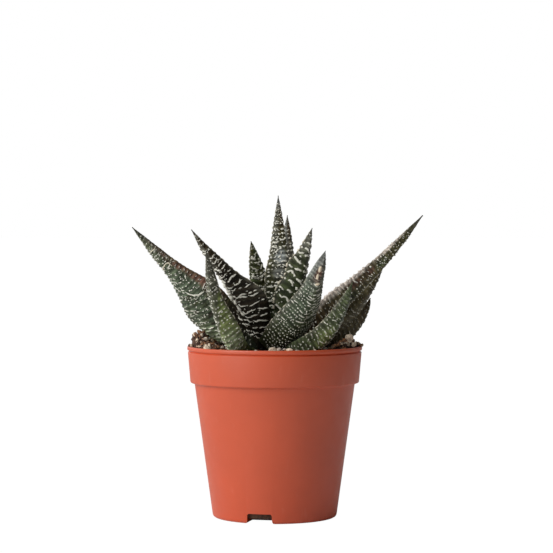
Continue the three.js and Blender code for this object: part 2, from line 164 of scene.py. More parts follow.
STONES = [
    # [x, y, radius, rise, colour share towards pale]
    (25.4, -7.8, 1.6, 1.15, 1.3),
    (26.8, -8.8, 0.95, 0.9, 1.0),
    (24.0, -9.3, 0.8, 0.8, 0.6),
    (-0.7, -27.1, 1.35, 0.7, 1.2),
    (5.0, -27.2, 0.95, 0.7, 0.9),
    (7.1, -26.8, 0.8, 0.7, 0.5),
    (-22.4, -15.6, 1.25, 0.6, 1.0),
    (-6.5, -27, 1.0, 0.7, 0.8),
    (-16, -22.9, 1.0, 0.6, 0.9),
    (19, -20.4, 0.85, 0.6, 0.8),
    (-27.2, -5.4, 0.8, 0.8, 1.2),
    (-26.2, -8.2, 0.75, 0.8, 1.0),
    (12, -25.2, 0.75, 0.6, 0.6),
]
STONE_SHAPE = (0.18, (0.75, 1.15))  # roughness, and the squash of each axis
CRUMBS = dict(count=760, distances=(9, 27.7), sizes=(0.35, 0.95), lift=0.35, shape=(0.22, (0.6, 1.0)))
GRIT = dict(count=150, distances=(16, 27.6), sizes=(0.4, 1.05), lift=0.45, shape=(0.13, (0.65, 1.1)))
# Loose crumbs that lie higher or on the rim: angles, distances from the axis, count, sizes and lift
LOOSE = [
    ((158, 200), (20.5, 28.0), 240, (0.35, 0.9), 0.5),
    ((200, 216), (22.3, 28.0), 90, (0.3, 0.65), 0.3),
    ((175, 195), (27.6, 29.4), 16, (0.45, 0.75), 1.1),
    ((322, 362), (20.5, 28.3), 190, (0.35, 0.9), 0.6),
    ((350, 360), (28.4, 30.4), 12, (0.5, 0.8), 1.2),
    ((216, 330), (24.5, 28.0), 260, (0.3, 0.7), 0.4),
]
LOOSE_SHAPE = (0.36, (0.5, 1.05))
RIM_LIFT = 0.6  # how far a crumb's middle lies above the rim, as a share of its radius
LUMP_LEVEL = 2
# Fibres: bits of root and moss
FIBRE_COUNT = 60
FIBRE_RING = (14, 26.5)
FIBRE_LIMIT = 27.5
FIBRE_LENGTH = (2, 5)
FIBRE_TURN = 1.6
FIBRE_RADIUS = (0.09, 0.17)
FIBRE_STEPS = 8
FIBRE_SIDES = 4

# Leaf form: the CAD's, with rounder keels, thicker margins and finer tips
SKIN_SEED = 100
SEEDS_APART = 10
BACK_DEPTH = 0.9
FACE_CROWN = 0.1
KEEL_SHARPNESS = (0.5, 0.8)
KEEL_ROUNDING = 0.13
ROOT_SHARE = 0.72
SHOULDER = 0.3
TIP_HALF_WIDTH = 0.16
TIP_THICKNESS = 0.34
TIP_FULLNESS = 0.9
MARGIN_THICKNESS = 0.36
MARGIN_POWER = 16
MARGIN_BACK = 0.8  # how much of the margin's thickness lies on the back
MARGIN_NARROW = 1.6  # margins get thinner where the half width is less than this
SKIN_NARROW = 2  # and the skin's relief gets lower
SKIN_SIDES = 48
SKIN_ROWS = 160
CURVE_STEPS = 200
BACK_END = math.pi + 1e-9  # the last turn that belongs to the back
SKIN_BUMPS = [(2.4, 0, 1), (1.1, 1, 0.5)]  # [size, seed beyond the leaf's, strength]
RIPPLE = 0.16
RIPPLE_POWER = 1.5
RIPPLE_RISE = (0.04, 0.14)  # the rows rise from the smooth root and end before the tip
RIPPLE_END = (1.0, 0.85)
LOWER_CHANGE = (0.15, 0.5)  # where the root's colour changes to the middle's
UPPER_CHANGE = (0.55, 0.95)  # and the middle's to the tip's
MARGIN_EDGE = (0.80, 1.0)  # the s over which a margin gets paler
BETWEEN_ROWS = 0.75  # how pale the skin is between the rows
DRIFT_ALONG = 0.06  # how far noise shifts the skin's colours along the leaf and across it
DRIFT_ACROSS = 0.2
DRIFT_OF_PATCH = 0.15
MARGIN_PALE = 0.6  # how strong the paler colour of a margin is
BLOTCHES = 0.4
FACE_APART = (40.0, 30.0)  # sets the noise of the upper face apart, for its form and its colour

# Tubercles
MARK_SEED = 500
ROW_END = 0.985
ROW_SPREAD = (0.72, 1.28)  # how much a row's pitch varies
ROW_BEND = 0.03  # how softly a row turns at the keel
ROW_FIRST = -0.95  # the s where a row starts, where its last mark may start and where it ends
ROW_LAST = 0.93
ROW_STOP = 0.96
ROW_PHASE = 7.3  # sets the winding of each row apart
LEAST_REACH = 0.5  # no marks on a row where the leaf is narrower
MARKED = (0.01, 0.99)  # the part of a leaf's length that has marks
ROOT_CLIMB_RANGE = (0.38, 0.62)  # where a row's climb changes from the root's
STROKE_SECTION = [(-1, -0.35), (-0.74, 0.62), (0, 1), (0.74, 0.62), (1, -0.35)]
SECTION_TINT = (0, 0.78, 1, 0.78, 0)
STROKE_STEP = 0.42
STROKE_END = 0.22  # the width left at a mark's ends
# The winding of a line: [size, seed, strength, how fast it changes from row to row]
WAVES = [(1.9, 17, 1, 1), (0.65, 18, 0.7, 1), (4.5, 16, 1, 1.7)]
BEAD_PITCH = 0.95
# A line's thickness: middle, beads, unevenness, then the size and seed of that
LINE_BEADS = (0.88, 0.2, 0.3, 0.7, 19)
MARGIN_BEADS = (0.8, 0.25, 0.3, 0.9, 33)
# The single beads between the rows
DOTS_ACROSS = (-0.92, 0.92)
DOTS_END = 0.94
BEAD_SIZES = (0.5, 0.95)
BEAD_WHITES = (0.4, 1.0)
MARK_NARROW = 2.2  # marks get smaller where the half width is less than this
DOT_SIZES = (0.9, 1.3)  # as shares of the pattern's width, and LINE_SIZES too
LINE_SIZES = (0.75, 1.25)
LINE_WHITES = (0.55, 1.15)
MARGIN_SIZES = (0.6, 2.0)
MARGIN_GAPS = (0.3, 1.1)
LEAST_SIZE = 0.5
LEAST_LENGTH = 0.35
KEEL_REACH = 0.8  # how much of the thickness counts in the way from margin to keel


def lerp(a, b, share):
    return a + (b - a) * share


def ease(a, b, x):
    share = np.clip((x - a) / (b - a), 0, 1)
    return share * share * (3 - 2 * share)


def blend(a, b, share):
    """Colours a to b by an array of shares."""
    share = np.clip(np.asarray(share, float), 0, 1)[..., None]
    return np.asarray(a) * (1 - share) + np.asarray(b) * share


def lattice(cells, seed):
    """A fixed value in -1..1 for each whole-numbered cell."""
    h = cells[..., 0] * 374761393 + cells[..., 1] * 668265263 + cells[..., 2] * 2147483647
    h = (h + seed * 974634777) & 0xFFFFFFFF
    h = ((h ^ (h >> 13)) * 1274126177) & 0xFFFFFFFF
    h = ((h ^ (h >> 16)) * 2246822519) & 0xFFFFFFFF
    return ((h ^ (h >> 15)) & 0xFFFFFF) / 0x7FFFFF - 1


def smooth_noise(points, seed):
    """Smooth noise in -1..1 at points, an array that ends in three coordinates."""
    cell = np.floor(points).astype(np.int64)
    share = points - cell
    share = share * share * (3 - 2 * share)
    total = np.zeros(points.shape[:-1])
    for corner in np.ndindex(2, 2, 2):
        corner = np.array(corner)
        weight = np.prod(np.where(corner, share, 1 - share), axis=-1)
        total += weight * lattice(cell + corner, seed)
    return total


def layered_noise(points, layers):
    """Smooth noise added up from layers of [size, seed, strength]."""
    return sum(smooth_noise(points / size, seed) * strength for size, seed, strength in layers)


def line_noise(x, seed):
    """Smooth noise in -1..1 along a line."""
    x = np.asarray(x, float)
    return smooth_noise(np.stack([x, x * 0 + 0.5, x * 0 + 0.5], axis=-1), seed)


class Nodes:
    """The node tree of a material or a world, put together by short calls."""

    def __init__(self, owner):
        owner.use_nodes = True
        self.tree = owner.node_tree
        self.nodes = self.tree.nodes

    def feed(self, socket, value):
        """Joins an output to a socket, or sets a plain value."""
        if isinstance(value, bpy.types.NodeSocket):
            self.tree.links.new(value, socket)
        elif socket.type == "RGBA":
            socket.default_value = (*value, 1)
        else:
            socket.default_value = value

    def add(self, kind, *numbered, **named):
        """A new node, with its sockets fed by number and by name."""
        node = self.nodes.new(kind)
        for number, value in enumerate(numbered):
            self.feed(node.inputs[number], value)
        for name, value in named.items():
            self.feed(node.inputs[name.replace("_", " ")], value)
        return node

    def span(self, value, start, end, low, high):
        """A value from start to end spread over low to high."""
        node = self.add("ShaderNodeMapRange", value, From_Min=start, From_Max=end, To_Min=low, To_Max=high)
        return node.outputs["Result"]

    def product(self, a, b):
        node = self.add("ShaderNodeMath", a, b)
        node.operation = "MULTIPLY"
        return node.outputs[0]

    def seen(self):
        """1 for what the camera sees itself."""
        return self.add("ShaderNodeLightPath").outputs["Is Camera Ray"]


class Material(Nodes):
    """A material of one shader."""

    def __init__(self, name):
        self.material = bpy.data.materials.new(name)
        super().__init__(self.material)
        self.shader = self.nodes["Principled BSDF"]
        self.place = self.add("ShaderNodeTexCoord").outputs["Object"]

    def set(self, **values):
        for name, value in values.items():
            self.feed(self.shader.inputs[name.replace("_", " ")], value)

    def tint(self):
        node = self.add("ShaderNodeVertexColor")
        node.layer_name = "tint"
        return node.outputs["Color"]

    def noise(self, scale, detail=3, stretch=None):
        place = self.place
        if stretch:
            place = self.add("ShaderNodeMapping", Vector=place, Scale=stretch).outputs["Vector"]
        return self.add("ShaderNodeTexNoise", Vector=place, Scale=scale, Detail=detail).outputs["Fac"]

    def varied(self, low, high, scale, detail, stretch=None):
        """Noise from low to high."""
        return self.span(self.noise(scale, detail, stretch), *NOISE_MIDDLE, low, high)

    def mix(self, share, a, b, kind="MIX"):
        """Mixes colours. share, a and b are outputs or plain values."""
        node = self.add("ShaderNodeMix", share)
        node.data_type = "RGBA"
        node.blend_type = kind
        self.feed(node.inputs[6], a)
        self.feed(node.inputs[7], b)
        return node.outputs[2]

    def mottled(self, colour, *noise):
        """A colour made darker and lighter by noise."""
        return self.mix(1.0, colour, self.varied(*noise), "MULTIPLY")

    def bump(self, height, strength, distance):
        node = self.add("ShaderNodeBump", Height=height, Strength=strength, Distance=distance * MM)
        self.set(Normal=node.outputs["Normal"])


def leaf_skin_material():
    m = Material("leaf_skin")
    flecks = m.span(m.noise(2400, 2), 0.60, 0.74, 0, 0.5)
    m.set(Base_Color=m.mix(flecks, m.mottled(m.tint(), 0.70, 1.34, 420, 4), FLECK))
    m.set(Roughness=m.varied(0.42, 0.60, 900, 2), Specular_IOR_Level=0.15)
    m.bump(m.noise(1500), 0.30, 0.12)
    return m.material


def tubercle_material():
    m = Material("tubercles")
    m.set(Base_Color=m.mottled(m.tint(), 0.82, 1.1, 1400, 3), Roughness=m.varied(0.45, 0.62, 2000, 2))
    m.bump(m.noise(3000, 2), 0.2, 0.05)
    return m.material


def pot_material():
    m = Material("terracotta_plastic")
    scuffs = m.span(m.noise(320, 5, (1, 1, 0.35)), 0.63, 0.75, 0, 0.22)
    m.set(Base_Color=m.mix(scuffs, m.mottled(POT_RED, 0.95, 1.05, 60, 3), POT_SCUFF))
    m.set(Roughness=m.varied(0.38, 0.48, 260, 4), Specular_IOR_Level=0.7)
    m.bump(m.noise(2200, 2), 0.10, 0.04)
    return m.material


def soil_material():
    m = Material("peat_and_grit")
    m.set(Base_Color=m.mottled(m.tint(), 0.55, 1.45, 1100, 5), Roughness=m.varied(0.78, 0.96, 700, 2))
    m.bump(m.noise(1800, 5), 0.7, 0.25)
    return m.material


def stem_material():
    m = Material("stem_bark")
    along = (1, 1, 0.3)
    m.set(Base_Color=m.mottled(STEM_BROWN, 0.6, 1.5, 500, 4, along), Roughness=m.varied(0.7, 0.9, 900, 2))
    m.bump(m.noise(1200, 4, along), 0.6, 0.3)
    return m.material


def new_object(name, data):
    made = bpy.data.objects.new(name, data)
    bpy.context.scene.collection.objects.link(made)
    return made


def new_mesh(name, points, faces):
    """A mesh from points in millimetres."""
    mesh = bpy.data.meshes.new(name)
    mesh.from_pydata((np.asarray(points) * MM).tolist(), [], faces)
    return mesh


def face_outward(mesh):
    shape = bmesh.new()
    shape.from_mesh(mesh)
    bmesh.ops.recalc_face_normals(shape, faces=shape.faces)
    shape.to_mesh(mesh)
    shape.free()


def mesh_piece(name, points, faces, material, tints=None, flat=()):
    """A piece from points in millimetres. flat lists the faces that are shaded flat."""
    mesh = new_mesh(name, points, faces)
    smooth = np.ones(len(mesh.polygons), bool)
    smooth[list(flat)] = False
    mesh.polygons.foreach_set("use_smooth", smooth)
    if tints is not None:
        layer = mesh.color_attributes.new(name="tint", type="FLOAT_COLOR", domain="POINT")
        rgba = np.ones((len(points), 4), np.float32)
        rgba[:, :3] = tints
        layer.data.foreach_set("color", rgba.ravel())
    mesh.materials.append(material)
    made = new_object(name, mesh)
    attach(made, "root")
    return made


def rounded(profile, steps=4):
    """The profile with each corner that has a rounding drawn as a short curve."""
    points = []
    for i, (r, z, rounding) in enumerate(profile):
        corner = np.array([r, z], float)
        if rounding == 0:
            points.append(corner)
            continue
        before = np.array(profile[i - 1][:2], float) - corner
        after = np.array(profile[i + 1][:2], float) - corner
        start = before * min(0.5, rounding / np.linalg.norm(before))
        end = after * min(0.5, rounding / np.linalg.norm(after))
        for u in np.linspace(0, 1, steps + 1):
            points.append(corner + start * (1 - u) ** 2 + end * u ** 2)
    return np.array(points)


def turned(profile, segments):
    """A lathe form: points and faces. The profile starts and ends on the axis."""
    angles = np.arange(segments) * 2 * math.pi / segments
    inner = profile[1:-1]
    ring = np.stack([np.cos(angles), np.sin(angles)], axis=1)
    points = [[0, 0, profile[0][1]]]
    for r, z in inner:
        points += np.column_stack([ring * r, np.full(segments, z)]).tolist()
    points.append([0, 0, profile[-1][1]])
    faces = []
    last = len(points) - 1
    for k in range(segments):
        n = (k + 1) % segments
        faces.append((0, 1 + n, 1 + k))
        for i in range(len(inner) - 1):
            low, high = 1 + i * segments, 1 + (i + 1) * segments
            faces.append((low + k, low + n, high + n, high + k))
        top = 1 + (len(inner) - 1) * segments
        faces.append((top + k, top + n, last))
    return np.array(points), faces


def notch_outline():
    """Half of the notch's outline, from below the base up to the middle: [across, height]."""
    widest = NOTCH_HALF_WIDTH + NOTCH_FLARE
    points = [(widest, NOTCH_BELOW), (widest, 0)]
    for u in np.linspace(0, 1, 5):
        across = NOTCH_HALF_WIDTH + NOTCH_FLARE * (1 - u) ** 2
        points.append((across, NOTCH_FLARE_HEIGHT * u ** NOTCH_FLARE_CURVE))
    x, z = NOTCH_HALF_WIDTH - NOTCH_CORNER, NOTCH_HEIGHT - NOTCH_CORNER
    for u in np.linspace(0, math.pi / 2, 6):
        points.append((x + NOTCH_CORNER * math.cos(u), z + NOTCH_CORNER * math.sin(u)))
    return points


def notch_cutter(angle):
    half = notch_outline()
    outline = half + [(-x, z) for x, z in reversed(half)]
    turn = math.radians(angle)
    out = np.array([math.cos(turn), math.sin(turn), 0])
    side = np.array([-math.sin(turn), math.cos(turn), 0])
    count = len(outline)
    points = []
    for reach in NOTCH_REACH:
        for across, height in outline:
            points.append(out * (WALL_FOOT_RADIUS + reach) + side * across + np.array([0, 0, height]))
    faces = [tuple(range(count)), tuple(range(2 * count - 1, count - 1, -1))]
    for i in range(count):
        n = (i + 1) % count
        faces.append((n, i, i + count, n + count))
    mesh = new_mesh("notch", points, faces)
    face_outward(mesh)
    return new_object("notch", mesh)


def build_pot():
    points, faces = turned(rounded(POT_PROFILE), POT_SEGMENTS)
    pot = mesh_piece("pot_plastic", points, faces, pot_material())
    cutters = [notch_cutter(angle) for angle in NOTCH_ANGLES]
    for cutter in cutters:
        cut = pot.modifiers.new("notch", "BOOLEAN")
        cut.operation = "DIFFERENCE"
        cut.solver = "EXACT"
        cut.object = cutter
    seen = pot.evaluated_get(bpy.context.evaluated_depsgraph_get())
    mesh = bpy.data.meshes.new_from_object(seen)
    pot.modifiers.clear()
    pot.data = mesh
    for cutter in cutters:
        bpy.data.objects.remove(cutter)
    mesh.set_sharp_from_angle(angle=math.radians(SHARP_ANGLE))
    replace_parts(pot, "pot")


def soil_height(x, y):
    height = np.full(np.shape(x), SOIL_LEVEL, float)
    for mx, my, rise, spread in MOUNDS:
        height += rise * np.exp(-((x - mx) ** 2 + (y - my) ** 2) / spread ** 2)
    return height


def crumbly(x, y):
    """The soil's surface with its unevenness."""
    rough = layered_noise(np.stack([x, y, x * 0], axis=-1), SOIL_BUMPS)
    edge = ease(SOIL_RADIUS - RIM_FALL_WIDTH, SOIL_RADIUS, np.hypot(x, y))
    return soil_height(x, y) + rough - RIM_FALL * edge


def icosphere(level):
    shape = bmesh.new()
    bmesh.ops.create_icosphere(shape, subdivisions=level, radius=1)
    points = np.array([v.co for v in shape.verts])
    faces = [tuple(v.index for v in f.verts) for f in shape.faces]
    shape.free()
    return points, faces


def turn_matrices(rng, count):
    """Random rotations, one for each lump."""
    q = rng.normal(size=(count, 4))
    w, x, y, z = (q / np.linalg.norm(q, axis=1, keepdims=True)).T
    rows = [
        [1 - 2 * (y * y + z * z), 2 * (x * y - z * w), 2 * (x * z + y * w)],
        [2 * (x * y + z * w), 1 - 2 * (x * x + z * z), 2 * (y * z - x * w)],
        [2 * (x * z - y * w), 2 * (y * z + x * w), 1 - 2 * (x * x + y * y)],
    ]
    return np.array(rows).transpose(2, 0, 1)


def lumps(rng, places, radii, roughness, squash):
    """Irregular lumps at places: points and faces."""
    base, faces = icosphere(LUMP_LEVEL)
    count = len(places)
    shape = base[None] * (1 + rng.uniform(-roughness, roughness, (count, len(base), 1)))
    shape = shape * rng.uniform(*squash, (count, 1, 3))
    shape = np.einsum("nij,nkj->nki", turn_matrices(rng, count), shape)
    points = places[:, None] + shape * radii[:, None, None]
    all_faces = []
    for n in range(count):
        start = n * len(base)
        all_faces += [tuple(start + v for v in f) for f in faces]
    return points.reshape(-1, 3), all_faces


class Heap:
    """Collects closed bodies that make one piece."""

    def __init__(self):
        self.points, self.faces, self.tints, self.flat = [], [], [], []
        self.count = 0

    def add(self, points, faces, tints, flat=False):
        if flat:
            first = len(self.faces)
            self.flat += range(first, first + len(faces))
        self.faces += [tuple(self.count + v for v in f) for f in faces]
        self.points.append(points)
        self.tints.append(tints)
        self.count += len(points)

    def piece(self, name, material, slot):
        points, tints = np.concatenate(self.points), np.concatenate(self.tints)
        return mesh_piece(name, points, self.faces, material, tints, self.flat)


def polar(distance, angle):
    """x and y."""
    return distance * np.cos(angle), distance * np.sin(angle)


def soil_body():
    """The filling: a fine top that runs into the coarse sides and bottom."""
    radii = np.concatenate([INNER_RINGS[:1], np.linspace(INNER_RINGS[1], SOIL_RADIUS, SOIL_RINGS)])
    angles = np.arange(SOIL_SEGMENTS) * 2 * math.pi / SOIL_SEGMENTS
    rings = []
    for radius, height in [(radius, None) for radius in radii] + SOIL_BELOW:
        x, y = polar(radius, angles)
        z = crumbly(x, y) if height is None else np.full(SOIL_SEGMENTS, float(height))
        rings.append(np.stack([x, y, z], axis=1))
    points = np.concatenate(rings)
    faces = [tuple(range(SOIL_SEGMENTS))]
    for i in range(len(rings) - 1):
        for k in range(SOIL_SEGMENTS):
            n = (k + 1) % SOIL_SEGMENTS
            a, b = i * SOIL_SEGMENTS, (i + 1) * SOIL_SEGMENTS
            faces.append((a + k, b + k, b + n, a + n))
    last = (len(rings) - 1) * SOIL_SEGMENTS
    faces.append(tuple(last + k for k in reversed(range(SOIL_SEGMENTS))))
    rust = layered_noise(points, RUST_PATCHES)
    tints = blend(PEAT_DARK, PEAT, ease(-0.6, 0.3, rust))
    return points, faces, blend(tints, PEAT_RUST, ease(0.3, 0.9, rust) * 0.5)


def crumb_colours(share):
    tints = blend(PEAT_DARK, PEAT, share * 1.6)
    return blend(tints, PEAT_RUST, ease(0.72, 1.0, share) * 0.9)


def loose_colours(share):
    tints = blend(PEAT_DARK, PEAT, ease(0.0, 0.35, share))
    tints = blend(tints, PEAT_RUST, ease(0.4, 0.75, share))
    return blend(tints, GRIT_PALE, ease(0.84, 0.95, share) * 0.8)


def grit_colours(share):
    return blend(GRIT_GREY, GRIT_PALE, share)


def scatter(rng, count, inner, outer):
    """Places on the soil between two distances from the axis."""
    distance = np.sqrt(rng.uniform(inner ** 2, outer ** 2, count))
    return polar(distance, rng.uniform(0, 2 * math.pi, count))


def on_soil(x, y, lift):
    return np.stack([x, y, crumbly(x, y) + lift], axis=1)


def add_lumps(heap, rng, places, radii, shape, colours, shares=None):
    """Adds lumps. Their shares of colour are drawn where none are given, and grit is shaded flat."""
    points, faces = lumps(rng, places, radii, *shape)
    if shares is None:
        shares = rng.uniform(0, 1, len(radii))
    shares = np.repeat(shares, len(points) // len(radii))
    heap.add(points, faces, colours(shares), flat=colours is grit_colours)


def add_scattered(heap, rng, colours, count, distances, sizes, lift, shape):
    x, y = scatter(rng, count, *distances)
    radii = rng.uniform(*sizes, count)
    add_lumps(heap, rng, on_soil(x, y, radii * lift), radii, shape, colours)


def add_loose(heap, rng, angles, distances, count, sizes, lift):
    angle = np.radians(rng.uniform(*angles, count))
    distance = rng.uniform(*distances, count)
    radii = rng.uniform(*sizes, count)
    places = on_soil(*polar(distance, angle), radii * lift)
    on_rim = distance > RIM_INSIDE
    places[on_rim, 2] = POT_TOP + radii[on_rim] * RIM_LIFT
    add_lumps(heap, rng, places, radii, LOOSE_SHAPE, loose_colours)


def add_fibre(heap, rng):
    """A thin bit of root or moss that lies on the soil."""
    x, y = scatter(rng, 1, *FIBRE_RING)
    heading = rng.uniform(0, 2 * math.pi)
    length = rng.uniform(*FIBRE_LENGTH)
    steps = np.linspace(0, 1, FIBRE_STEPS)
    bend = heading + rng.uniform(-FIBRE_TURN, FIBRE_TURN) * steps
    px = x + np.cumsum(np.cos(bend)) * length / FIBRE_STEPS
    py = y + np.cumsum(np.sin(bend)) * length / FIBRE_STEPS
    inside = np.minimum(1, FIBRE_LIMIT / np.hypot(px, py))
    px, py = px * inside, py * inside
    middle = on_soil(px, py, 0.25 + 0.5 * np.sin(steps * math.pi) * rng.uniform(0, 1))
    thick = rng.uniform(*FIBRE_RADIUS) * (1 - 0.5 * steps)
    sideways = np.stack([-np.sin(bend), np.cos(bend), steps * 0], axis=1)
    sides = []
    for k in range(FIBRE_SIDES):
        turn = k * 2 * math.pi / FIBRE_SIDES
        offset = sideways * math.cos(turn) + np.array([0, 0, 1]) * math.sin(turn)
        sides.append(middle + offset * thick[:, None])
    points = np.stack(sides, axis=1).reshape(-1, 3)
    tints = blend(PEAT, PEAT_RUST, np.full(len(points), rng.uniform(0, 1)))
    heap.add(points, ring_faces(FIBRE_STEPS, FIBRE_SIDES), tints)


def build_soil():
    rng = np.random.default_rng(SOIL_SEED)
    heap = Heap()
    heap.add(*soil_body())
    add_scattered(heap, rng, crumb_colours, **CRUMBS)
    for loose in LOOSE:
        add_loose(heap, rng, *loose)
    add_scattered(heap, rng, grit_colours, **GRIT)
    x, y, radii, rise, pale = np.array(STONES).T
    add_lumps(heap, rng, on_soil(x, y, radii * rise), radii, STONE_SHAPE, grit_colours, pale)
    for _ in range(FIBRE_COUNT):
        add_fibre(heap, rng)
    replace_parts(heap.piece("soil_peat", soil_material(), "soil"), "soil")


def ring_faces(rings, sides):
    """Faces of a closed body made of rings of points, with its two end caps."""
    faces = [tuple(reversed(range(sides)))]
    for i in range(rings - 1):
        for k in range(sides):
            n = (k + 1) % sides
            a, b = i * sides, (i + 1) * sides
            faces.append((a + k, a + n, b + n, b + k))
    faces.append(tuple((rings - 1) * sides + k for k in range(sides)))
    return faces


def pattern(**changes):
    """How one side of a leaf carries its tubercles, in rows across it."""
    made = dict(
        pitch=(1.9, 1.5),  # from row to row, at the root and the tip
        climb=(0.35, 0.35),  # how steeply a row runs towards the tip, for s below and above 0
        root_climb=None,  # another climb for the half near the root
        apex=0.0,  # the s at which the rows turn
        lines=(0.35, 0.35),  # share of lines, the rest are dots, for s below and above 0
        length=(1.0, 3.4),  # of a line, least and greatest
        gap=(0.3, 0.9),
        width=0.66,
        height=0.28,
        wave=0.4,  # how far a line winds
        scatter=0.2,  # how far it lies off its row
        tilt=0.12,  # how far it turns out of its row, as a slope
        white=1.0,
        fade=(1.1, 1.2),  # the marks get weaker between these shares of the length
        start=0.10,  # share of the length at which the rows start
        dotted=-1,  # below this share of the length every mark is a dot
        dots=0,  # beads between the rows, for each square centimetre
    )
    made.update(changes)
    return made


LEAVES = []


def add_leaf(name, root, bend, tip, **changes):
    """Adds a leaf: the three points of its midline, its size, where its upper face looks (faces),
    and its own values in place of these."""
    made = dict(
        name=name, root=root, bend=bend, tip=tip,
        bulges=(),  # [margin, rise, middle, spread]: the margin stands out, or below 0 draws in
        skin=((DEEP, FOREST, GREY_GREEN),) * 2,  # at the root, middle and tip, for s below and above 0
        seam=(0, 0, 0.35),  # the s where the two meet at the root and the tip, and half its width
        dim=0,  # how much weaker the marks are on the first colours
        row_paleness=1.9,  # how much paler the skin is under a row
        uneven=0.16,
        scallop=(0.2, 0.2),  # how far the margins stand out at a row, for s below and above 0
        patch_side="back",
        patches=(),  # [s, t, half width, half length, colour, share of marks left out]
        back=pattern(),
        face=pattern(pitch=(2.4, 1.8), lines=(0.2, 0.2), gap=(0.8, 2.2), width=0.5, start=0.25),
        margins=((-1, 0.1, 0.95, 0.4), (1, 0.1, 0.95, 0.4)),  # beads: margin, first and last t, width
        streaks=(),  # single lines: colour, width, then places as [s, t]
    )
    made.update(changes)
    LEAVES.append(made)


add_leaf(
    "leaf_centre_tall", root=(1.2, 1.6, 64.6), bend=(1.6, 3, 86), tip=(1.2, 4, 110.1),
    width=9.8, thickness=4.4, taper=1.56, faces=275,
    bulges=((-1, 0.9, 0.4, 0.1),),
    skin=((DEEP, OLIVE, GREY), (DEEP, OLIVE, BROWN)), patch_side="face",
    patches=((0.15, 0.54, 0.6, 0.06, SHEEN_PALE, 0.5), (0.1, 0.415, 0.6, 0.045, SHEEN_GREY, 0.8),
             (-0.6, 0.68, 0.6, 0.12, GREY, 0), (0, 0.97, 1, 0.07, SHEEN_GREY, 0.6)),
    face=pattern(pitch=(1.9, 1.3), lines=(0.5, 0.45), length=(0.8, 2.6), gap=(0.1, 0.5), width=0.8,
                 height=0.38, climb=(0.1, 0.1), wave=1.0, white=1.5, dots=26, tilt=0.35, scatter=0.4),
    margins=((-1, 0.15, 0.95, 0.7), (1, 0.15, 0.95, 0.7)),
)
add_leaf(
    "leaf_centre_right", root=(2.4, -0.8, 63.4), bend=(6.9, -5, 80.5), tip=(12.8, -2.5, 98.9),
    width=10.9, thickness=4.2, taper=1.85, faces=118,
    bulges=((-1, -0.5, 0.6, 0.25), (1, 1.9, 0.38, 0.14), (1, 1.6, 0.64, 0.085)),
    skin=((DEEP, FOREST, GREY), (FOREST, FOREST, GREY)),
    back=pattern(pitch=(3.2, 2.1), climb=(0.05, 0.5), lines=(0.3, 0.95), length=(1.6, 4.2),
                 gap=(0.15, 0.6), width=0.95, height=0.42, wave=1.4, white=1.4, dots=9, tilt=0.1,
                 scatter=0.15, fade=(0.8, 1.0)),
    margins=((-1, 0.2, 0.95, 0.9), (1, 0.2, 0.95, 1.4)),
)
add_leaf(
    "leaf_centre_behind", root=(1.6, 3.8, 63), bend=(4, 11, 80), tip=(4.4, 15, 103.4),
    width=9.4, thickness=4, taper=1.9, faces=268,
    skin=((GREY, SHEEN_GREY, SHEEN_GREY), (GREY, GREY, BROWN)),
    face=pattern(pitch=(1.9, 1.6), lines=(0.3, 0.3), length=(0.8, 2.4), width=0.8, wave=0.7, tilt=0.3,
                 scatter=0.35),
    margins=((1, 0.3, 0.95, 0.6),),
)
add_leaf(
    "leaf_centre_left", root=(-2.4, 1.8, 63), bend=(-4.8, 5, 78), tip=(-8.2, 6, 94.4),
    width=10.2, thickness=3.8, taper=2.1, faces=300,
    bulges=((-1, -0.5, 0.4, 0.2),),
    skin=((OLIVE, FERN, OLIVE), (DEEP, OLIVE, FERN)),
    face=pattern(pitch=(1.8, 1.5), lines=(0.6, 0.55), width=0.85, height=0.36, wave=1.1, white=1.25,
                 dots=20, tilt=0.4, length=(1, 3)),
    margins=((-1, 0.2, 0.95, 0.7), (1, 0.2, 0.95, 0.6)),
)
add_leaf(
    "leaf_front_right", root=(-0.6, -4.8, 60), bend=(10.2, -20, 69.6), tip=(16.9, -20, 91.3),
    width=16.2, thickness=5.2, taper=1.95, faces=120,
    bulges=((-1, -0.6, 0.76, 0.15), (1, -1, 0.64, 0.15)),
    skin=((DEEP, FERN, GREY), (DEEP, BLUE_GREEN, SHEEN_GREY)),
    patches=((0.25, 0.8, 0.35, 0.07, RED_BROWN, 0.5),),
    back=pattern(pitch=(1.4, 1.2), climb=(0.35, 0.3), lines=(0.85, 0.1), length=(1.2, 3.6),
                 gap=(0.25, 0.75), width=0.5, height=0.24, white=1.2, start=0.02, wave=0.3, scatter=0.3,
                 dots=20, fade=(0.62, 0.82), dotted=0.32),
    margins=((-1, 0.1, 0.95, 0.35), (1, 0.1, 0.75, 0.3)),
    streaks=((SCAR, 1.2, (0.31, 0.873), (0.28, 0.819)), (SCAR, 1.0, (0.33, 0.81), (0.23, 0.761)),
             (SCAR, 0.9, (-0.18, 0.746), (0.26, 0.722))),
)
